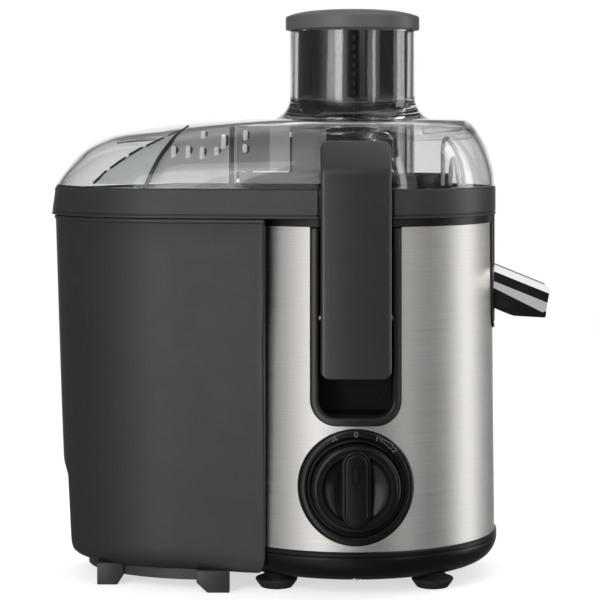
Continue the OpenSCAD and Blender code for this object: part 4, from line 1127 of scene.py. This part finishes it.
def dial_marks():
    """Thin marks: a pulse wave, 0, 1 and 2, with a widening wedge from 1 to 2."""
    zero = [(0.9 * math.cos(t), 1.4 * math.sin(t)) for t in [2 * math.pi * i / 24 for i in range(24)]]
    two = arc(0, 0.6, 0.8, 160, -30, 8) + [(-0.8, -1.3), (0.9, -1.3)]
    pulse = [(-1.7, -1.0), (-0.7, -1.0), (-0.7, 1.1), (0.7, 1.1), (0.7, -1.0), (1.7, -1.0)]

    def wedge_side(r0, r1):
        steps = [i / 12 for i in range(13)]
        return [at_turn([(0, 0)], lerp(ONE_TURN + 3, TWO_TURN - 4, t), lerp(r0, r1, t))[0] for t in steps]

    strokes = [
        stroke(at_turn(zero, 0), closed=True),
        stroke(at_turn([(-0.5, 0.7), (0.1, 1.3), (0.1, -1.3)], ONE_TURN)),
        stroke(at_turn(two, TWO_TURN)),
        stroke(at_turn(pulse, PULSE_TURN)),
        stroke(wedge_side(32.0, 32.6) + wedge_side(31.2, 29.8)[::-1], 0.3, closed=True),
    ]
    piece("dial_marks", joined(*strokes), "base", "pointer_white", MARK)


def stadium(w, l):
    """A function of inset that gives a bar's outline with round ends, w by l."""
    return lambda i: rounded(w - 2 * i, l - 2 * i, (w - 2 * i) / 2 - 1e-3, 12, foot=i - l / 2)


def knob():
    """The knob, dished, with a grip bar over its face, and the pointer's inlay in the bar's upper end."""
    r, front = KNOB.x1 - DIAL_X, -KNOB.y0
    face = front - 4.5
    dish = 19.4
    dip = face - 5.6
    body = [
        (0, 75), (r - 0.6, 75), (r, 75.6), (r, face - 3.2), (r - 0.25, face - 1.9), (r - 0.9, face - 0.8),
        (r - 1.9, face - 0.2), (r - 2.8, face), (r - 3.0, face - 0.25), (r - 3.2, face - 0.25),
        (r - 3.4, face), (dish + 0.4, face), (dish, face - 0.4), (dish - 0.4, face - 1.3),
    ]
    body += [(dish * t, dip + 4.2 * t * t) for t in [1 - i / 14 for i in range(1, 14)]] + [(0, dip)]
    outer = layered(stadium(17, 44.6), [(0, face - 8)] + soft_layers(face - 6, face + 1.4, 1.0))
    ridge = layered(stadium(13, 41.6), [(0, face - 8)] + soft_layers(face - 6, front - 0.1, 1.1))
    solid = combine(lathe(body, 160), "UNION", outer, ridge)
    pointer_up = 8.9

    def oval(inset):
        return [(x, y + pointer_up) for x, y in stadium(4.2, 10)(inset)]

    groove = upright(oval(0), front - 0.9, front + 1)
    groove = combine(groove, "DIFFERENCE", upright(oval(0.5), front - 2, front + 2))
    solid = turned(combine(solid, "DIFFERENCE", groove), TO_DIAL)
    piece("knob_grip", solid, "knob", "black_plastic", BLACK_GLOSS, "knob", smooth=26)
    inlay = layered(lambda i: oval(i + 0.5), soft_layers(front - 0.9, front, 0.2))
    piece("knob_inlay", turned(inlay, TO_DIAL), "knob", "pointer_white", BLACK, "knob_pointer")


# ---- Spout ----

SPOUT_TILT = 22.0
SPOUT_ROOT = (88.4, 189.8)
SPOUT_W = COVER.y1 - COVER.y0


def hood_section(inset):
    """The hood's faceted arch seen along the spout, from one foot to the other."""
    half = SPOUT_W / 2 - inset
    top = -inset
    side = [
        (half, -18), (half - 1.2, -10.4), (half - 1.2, -4.8), (half - 5.4, -0.9 + top * 0.8),
        (half - 7.4, -0.2 + top), (0, top),
    ]
    return side + [(-y, z) for y, z in reversed(side[:-1])]


def spout_prism(inset, low, high):
    """The hood's section, pulled along the spout's slope. An inset one reaches down, to cut the hollow."""
    ring = hood_section(inset)
    if inset:
        ring += [(3 - SPOUT_W / 2, -30), (SPOUT_W / 2 - 3, -30)]
    a = math.radians(SPOUT_TILT)
    c, s = math.cos(a), math.sin(a)
    x, height = SPOUT_ROOT
    ends = ((x + far * c, height - far * s) for far in (low, high))
    return grid([[(end_x + z * s, y, end_z + z * c) for y, z in ring] for end_x, end_z in ends])


def spout():
    nose = COVER.x1
    outline = [(80, 200), (80, 178.4), (116.4, 160.2), (118.7, 161.4), (nose, 174), (117.6, 178), (111, 200)]
    outline = filleted(outline, [0, 0, 1.0, 1.2, 2.6, 3.0, 0], 5)
    hood = combine(spout_prism(0, -8, 50), "INTERSECT", across(outline, -30, 30))
    hood = combine(hood, "DIFFERENCE", spout_prism(1.4, -12, 60))
    hood = softened(hood, 0.7, 28, 1)
    piece("spout_hood", hood, "base", "spout_chrome", CHROME, "spout_cover", smooth=7)
    half = TROUGH.y1
    outline = [
        (82.4, 165), (88.4, 162), (98.2, 158), (118.4, TROUGH.z0), (118.8, 160.5), (116, 163.5), (82.4, 177),
    ]
    trough = across(filleted(outline, [0, 2, 12, 1.5, 1.0, 1.0, 0], 5), -half, half)
    channel = across([(80, 167.5), (130, 155.7), (130, 190), (80, 190)], 1.7 - half, half - 1.7)
    trough = softened(combine(trough, "DIFFERENCE", channel), 0.5, 40)
    piece("spout_channel", trough, "base", "black_plastic", BLACK, "spout_trough")


def outlet_trim():
    """The black frame round the tongue."""
    bar = (TRIM_W - TONGUE_W - 1) / 2
    face = [
        (0, None), (0, 0.6), (0.4, 1.1), (1.1, 1.3), (bar - 0.8, 1.3), (bar - 0.2, 0.9), (bar, 0.3),
        (bar, None),
    ]

    def line(i):
        return u_line(TRIM_W - 2 * i, TRIM.z0 + i / 2, TRIM.z1, max(1.5, TRIM_CORNER - 1.4 * i))

    def place(y, z, proud, _):
        return 77 if proud is None else -on_skin(y, z, proud), y, z

    piece("outlet_frame", u_frame(face, line, place), "base", "black_plastic", BLACK, "outlet_trim")


# ---- Basket ----


def basket():
    low, top = BASKET.z0, BASKET.z1
    rim_low, rim_top = RIM.z0, RIM.z1
    r, r_top, r_low, wall = RIM.x1, BASKET.x1, 46.0, 1.2
    cone = [
        (10, low), (r_low - 2, low), (r_low, low + 1.5), (r_top, rim_low + 2), (r_top, top),
        (r_top - wall, top), (r_top - wall, rim_low + 2), (r_low - wall, low + 2.2), (r_low - 3, low + wall),
        (10, low + wall),
    ]
    piece("sieve_basket", lathe(cone, 160), "rotor", "bright_steel", SIEVE, "filter_basket")
    rim = [
        (r_top, rim_low + 2), (r - 2, rim_low), (r - 0.4, rim_low + 0.3), (r, rim_low + 1),
        (r, rim_low + 4.4), (r - 0.7, rim_low + 4.9), (r - 0.7, rim_low + 5.5), (r, rim_low + 6),
        (r, rim_top - 0.8), (r - 0.8, rim_top), (r_top - 1.0, rim_top), (r_top - 1.4, rim_top - 0.5),
        (r_top - 1.4, top), (r_top, top),
    ]
    piece("sieve_rim", lathe(rim, 160), "rotor", "black_plastic", BLACK, "basket_rim")


# ---- Inside the lid ----


def lid_details():
    """Moulded shapes inside the lid: part of a ring over the basket, and two arched ribs in front."""
    rings = []
    section = [(74.4, 269.2), (75.4, 269.2), (75.4, 273.4), (74.4, 273.4)]
    for i in range(61):
        a = math.radians(lerp(-58, 58, i / 60))
        rings.append([(r * math.cos(a), r * math.sin(a), z) for r, z in section])
    outer = [(52.3, 239), (52.3, 250), (52.3, 262), (54.2, 266.6), (59.2, 260.2), (62.9, 251), (64.7, 239)]
    inner = [(56.5, 239), (57.2, 250), (58.2, 255.4), (59.8, 252), (62, 239)]
    piece("lid_skirt_ring", grid(rings), "lid", "clear_plastic", CLEAR)
    bars = [tube_about([(x, -49, z) for x, z in spline(line, 6)], 1.2) for line in (outer, inner)]
    piece("lid_ribs", joined(*bars), "lid", "clear_plastic", FROSTED)


# The guard's left edge, and the sweep in front of it, seen from the front
GUARD_EDGE = [(-124, 237.5), (-120.3, 245.9), (-115.2, 255.6), (-110, 262.8), (-105, 269), (-99.8, 274)]
GUARD_SWEEP = [
    (-155.3, 239.9), (-147.2, 247.3), (-137.8, 254), (-129.5, 259.2), (-121.2, 263.1), (-110.7, 268),
    (-104.4, 270.6), (-95, 272.1),
]
# Each stud's place seen from the front, and its height
STUDS = [
    (-106.9, 258.4, 8.5), (-98.5, 258.7, 8.5), (-90.1, 258.2, 8), (-89.6, 268, 7), (-81.5, 259.3, 5.5),
    (-77.4, 263.4, 13), (-64.6, 268.6, 6.5), (-64.8, 261.2, 5),
]


def inner_skin(x, z):
    """Depth of the lid's inner face in front of the axis, at a place seen from the front."""
    r, reach = (size - LID_WALL for size in row_at(LID_ROWS, max(0, z - LID_Z)))
    # The outline's points are about 2 mm apart, so one or more of them is as near to x as this
    near = 1.6
    return max([abs(py) for px, py in plan_line(r, reach, 360) if abs(px - x) < near], default=0)


def roof_height(x):
    """Height of the lid's inner face on the middle plane, at x."""
    squeeze = 1 - LID_WALL / LID_ROWS[-1][0]
    rows = [(reach - LID_WALL, LID_Z + h * squeeze) for h, _, reach in spline(LID_ROWS, 3)]
    for (far0, z0), (far1, z1) in zip(rows, rows[1:]):
        if far1 <= -x <= far0:
            return lerp(z0, z1, (far0 + x) / (far0 - far1))
    return rows[-1][1]


def x_at(line, z):
    """Where a line rises past z."""
    for (x0, z0), (x1, z1) in zip(line, line[1:]):
        if z <= z1:
            return lerp(x0, x1, max(0, (z - z0) / (z1 - z0)))
    return line[-1][0]


def liner(left, right, low, high, gap=2.2, thick=1.2):
    """A plate inside the lid's front wall, from left(z) to right(z)."""
    rings = []
    for i in range(17):
        z = lerp(low, high, i / 16)
        xs = [lerp(left(z), right(z), k / 20) for k in range(21)]
        near = [(x, -inner_skin(x, z) + gap, z) for x in xs]
        rings.append(near + [(x, y + thick, z) for x, y, z in near[::-1]])
    return grid(rings)


def pulp_guard():
    """The guard under the left of the lid, that turns the pulp down into the container."""

    def flat(left, right, z0, z1, gap):
        return liner(lambda z: left, lambda z: right, z0, z1, gap)

    sweep, edge = (lambda z: x_at(GUARD_SWEEP, z)), (lambda z: x_at(GUARD_EDGE, z))
    low, step, top = 241, 248, 273
    post, panel, end = -74, -69.5, -50
    # The plates are one plastic, guard_grey; the paler and darker copies of it are painted light and painted
    # shade
    plates = {
        # Painted light: a pale plate between the sweep and the guard's edge
        "guard_sweep_painted_light": (liner(lambda z: min(sweep(z), edge(z) - 0.5), edge, low - 1, top - 3), GUARD_PAINTED_LIGHT),
        "guard_wall": (liner(edge, lambda z: post, low, top - 0.6), GUARD),
        "guard_post": (flat(post, post + 3, low, top - 0.2, 2.0), GUARD_DEEP_SHADE),
        "guard_strip": (flat(post + 3, panel, low, top - 0.2, 2.2), GUARD),
        "guard_panel": (flat(panel, end, step, top, 3.0), GUARD_PAINTED_SHADE),
        "guard_end": (flat(end, -38.4, step, top, 2.6), GUARD),
        "guard_return": (flat(-37, -17, low, top - 1, 5.0), GUARD_PAINTED_SHADE),
        "guard_step": (flat(-68, -16, low, step - 0.6, 1.9), GUARD_PAINTED_SHADE),
        # Painted highlight: a thin white strip along the top edge of the step
        "guard_ledge_highlight": (flat(-60, -39, step - 0.6, step + 0.2, 1.9), STUD),
    }
    for name, (mesh, look) in plates.items():
        piece(name, joined(mesh, turned(mesh.copy(), MIRROR_Y)), "lid", "smoky_plastic", look)

    # With no offset the pads are the studs; moved right and down they are the studs' painted shadows
    def pads(dx, dz, w, proud):
        out = []
        for x, z, tall in STUDS:
            pad = layered(stadium(w, tall), [(0, -1.0)] + soft_layers(-0.8, proud, 0.5))
            place = Matrix.Translation((x + dx, 1.9 - inner_skin(x, z), z + dz))
            out.append(turned(pad, place @ TO_FRONT))
        return joined(*out)

    piece("guard_studs", pads(0, 0, 2.8, 0.9), "lid", "clear_plastic", STUD)
    # Painted shadows: dark pads set a little right of and below each stud
    piece("guard_stud_shadows", pads(1.3, -0.9, 3.0, 0.3), "lid", "smoky_plastic", BLACK)

    def bar(line, r):
        return tube_about([(x, 1.4 - inner_skin(x, z), z) for x, z in line], r)

    smooth = spline(GUARD_SWEEP, 4)
    dashes = [bar(smooth[i:i + 5], 0.75) for i in range(0, len(smooth) - 4, 5)]
    bars = [bar(spline(GUARD_EDGE, 5), 1.15)] + dashes
    piece("guard_bars", joined(*bars), "lid", "smoky_plastic", BLACK)
    # Painted dark reflection: a thin dark fin on the middle plane under the roof, drawing the dark band along
    # the roof
    roof, under = [], []
    for i in range(25):
        x = lerp(-146, -42, i / 24)
        z = roof_height(x) - 0.3
        roof.append((x, z))
        under.append((x, z - lerp(0.7, 3.0, smoothstep(i / 24))))
    piece("roof_painted_dark_band", across(roof + under[::-1], -1.5, 1.5), "lid", "smoky_plastic", GUARD_DEEP_SHADE)


# ---- Small parts ----


def cord_gland():
    far = GLAND.y1
    profile = [(3.6, 79.2), (10.8, 79.2), (11.2, 80), (11.2, 81), (5.8, 81.4), (5.8, 87.4), (8.4, 88)]
    for i in range(4):
        y = 88.8 + 2.6 * i
        r = 8.2 - 0.55 * i
        profile += [(r + 0.3, y), (r + 0.3, y + 1.4), (r - 0.7, y + 1.7), (r - 0.7, y + 2.4)]
    profile += [(5.6, far - 0.3), (5.2, far), (3.8, far), (3.6, far - 0.3)]
    gland = turned(lathe(profile, 64), Matrix.Translation((0, 0, GLAND_Z)) @ TO_BACK)
    piece("strain_relief", gland, "base", "black_rubber", RUBBER, "cord_gland", smooth=50)


# Looks of the other CAD nodes, by the first of these words that is in the name. The rest are black.
CAD_LOOKS = {
    # The lever's pocket gets painted shade, blacker than the housing
    "lever_pocket": POCKET_SHADE, "lid_seal": SEAL, "shaft_seal": RUBBER, "motor_mounts": RUBBER,
    "lever_pins": TURNED, "base_screws": TURNED, "switch_shaft": TURNED, "motor_shaft": TURNED,
    "bearing": TURNED, "grater_disc": TURNED, "bracket": CAST, "windings": COPPER, "field_coils": COPPER,
    "commutator": COPPER, "armature": LAMINATED, "motor_stator": LAMINATED, "brush_holders": BRASS,
    "carbon_brushes": CARBON, "cooling_fan": NYLON, "control_board": BOARD,
}


def dress_cad():
    """Gives each CAD node that is kept its material and its shading."""
    for name, obj in frame["nodes"].items():
        if name in replaced:
            continue
        look = next((look for word, look in CAD_LOOKS.items() if word in name), BLACK)
        obj.data.materials.clear()
        obj.data.materials.append(look)
        obj.data.shade_smooth()
        obj.data.set_sharp_from_angle(angle=math.radians(32))


# ---- Studio ----


def studio_floor():
    """A pale floor, lit evenly enough to meet the white behind it without an edge."""
    steps = [i / 24 for i in range(25)]
    rings = [[(lerp(-2.4, 2.4, t), lerp(-1.2, 1.1, u), 0) for t in steps] for u in steps]
    data = to_data(grid(rings, wrap=False, caps=False), "studio_floor")
    look = Look("pale_floor", roughness=0.7, specular=0.1)
    look.link(look.tinted((0.88, 0.88, 0.88), 0.01, 3), "Base Color")
    look.shader.inputs["Emission Color"].default_value = (1, 1, 1, 1)
    look.shader.inputs["Emission Strength"].default_value = 0.62
    look.bump(look.noise(400, 2), 0.03)
    data.materials.append(look.material)
    obj = linked("studio_floor", data)
    obj.visible_glossy = obj.visible_diffuse = False


# Degrees round to the right from the front, degrees up, distance, width, height, power, and whether
# a mirror shows the light
LIGHTS = {
    "key": (-36, 8, 1.7, 0.9, 1.5, 14, False),
    "fill": (40, 6, 1.7, 0.7, 1.4, 4, False),
    "strip_left": (-26, 8, 1.7, 0.4, 1.6, 4.6, True),
    "strip_right": (40, 8, 1.7, 0.14, 1.6, 2.2, True),
    "rim_right": (100, 8, 1.5, 0.5, 1.6, 7, True),
    "top": (160, 78, 1.5, 1.4, 1.2, 5, True),
    "high_right": (96, 61, 1.5, 0.55, 0.7, 0.85, True),
    "low_front": (17.4, 11.6, 1.7, 0.3, 0.34, 0.12, True),
}


def lights():
    """Soft lights, all aimed at the juicer's middle."""
    middle = Vector((0, 0, 0.17))
    for name, (azimuth, lift, far, w, h, power, glossy) in LIGHTS.items():
        a, b = math.radians(azimuth), math.radians(lift)
        place = middle + far * Vector((math.sin(a) * math.cos(b), -math.cos(a) * math.cos(b), math.sin(b)))
        data = bpy.data.lights.new(name, "AREA")
        data.shape = "RECTANGLE"
        data.size, data.size_y = w, h
        data.energy = power
        obj = linked(name, data)
        obj.location = place
        obj.rotation_euler = (middle - place).to_track_quat("-Z", "Y").to_euler()
        obj.visible_glossy = glossy


def world():
    """White to the camera. Reflections see white behind the juicer, grey overhead, and a front that is
    bright at the left, dim at the right and dim round the camera, so that black parts stay black.
    """
    scene_world = bpy.data.worlds.new("studio")
    bpy.context.scene.world = scene_world
    scene_world.use_nodes = True
    tree = scene_world.node_tree
    place = add_node(tree, "ShaderNodeTexCoord", {}).outputs["Generated"]
    split = add_node(tree, "ShaderNodeSeparateXYZ", {0: place}).outputs

    def ramp(axis, start, end, low, high):
        inputs = {"Value": split[axis], "From Min": start, "From Max": end, "To Min": low, "To Max": high}
        return add_node(tree, "ShaderNodeMapRange", inputs, interpolation_type="SMOOTHSTEP").outputs["Result"]

    def both(operation, first, second):
        return add_node(tree, "ShaderNodeMath", {0: first, 1: second}, operation=operation).outputs[0]

    behind = ramp("Y", 0.86, 0.97, 0.0, 0.95)
    above = ramp("Z", 0.2, 0.9, 0.12, 0.3)
    front = ramp("Y", -0.25, -0.75, 0.0, 0.8)
    leftward = ramp("X", -0.2, 0.14, 1.0, 0.16)
    round_camera = ramp("Y", -0.965, -0.988, 1.0, 0.1)
    room = both("MAXIMUM", above, both("MULTIPLY", front, leftward))
    room = both("MAXIMUM", behind, both("MULTIPLY", room, round_camera))
    seen = add_node(tree, "ShaderNodeLightPath", {}).outputs["Is Camera Ray"]
    background = tree.nodes["Background"].inputs
    tree.links.new(both("MAXIMUM", room, seen), background["Strength"])
    background["Color"].default_value = (1, 1, 1, 1)


def camera():
    """A level camera in front, shifted down to frame the juicer."""
    data = bpy.data.cameras.new("camera")
    data.lens = 130.7
    data.sensor_width = 36
    data.shift_y = -0.295
    obj = linked("camera", data)
    obj.location = (0, -1.35, 0.2764)
    obj.rotation_euler = (math.radians(90), 0, 0)
    bpy.context.scene.camera = obj


pulp_container()
juice_collector()
clear_lid()
lid_details()
pulp_guard()
pusher()
for side, turn in SIDES.items():
    lever("lever_" + side, turn)
for side, turn in SIDES.items():
    bezel("lever_bezel_" + side, turn)
steel_skin()
base_pan()
feet()
dial_ring()
dial_marks()
knob()
spout()
outlet_trim()
basket()
cord_gland()
dress_cad()
studio_floor()
world()
lights()
camera()
bpy.context.scene.view_settings.view_transform = "Standard"
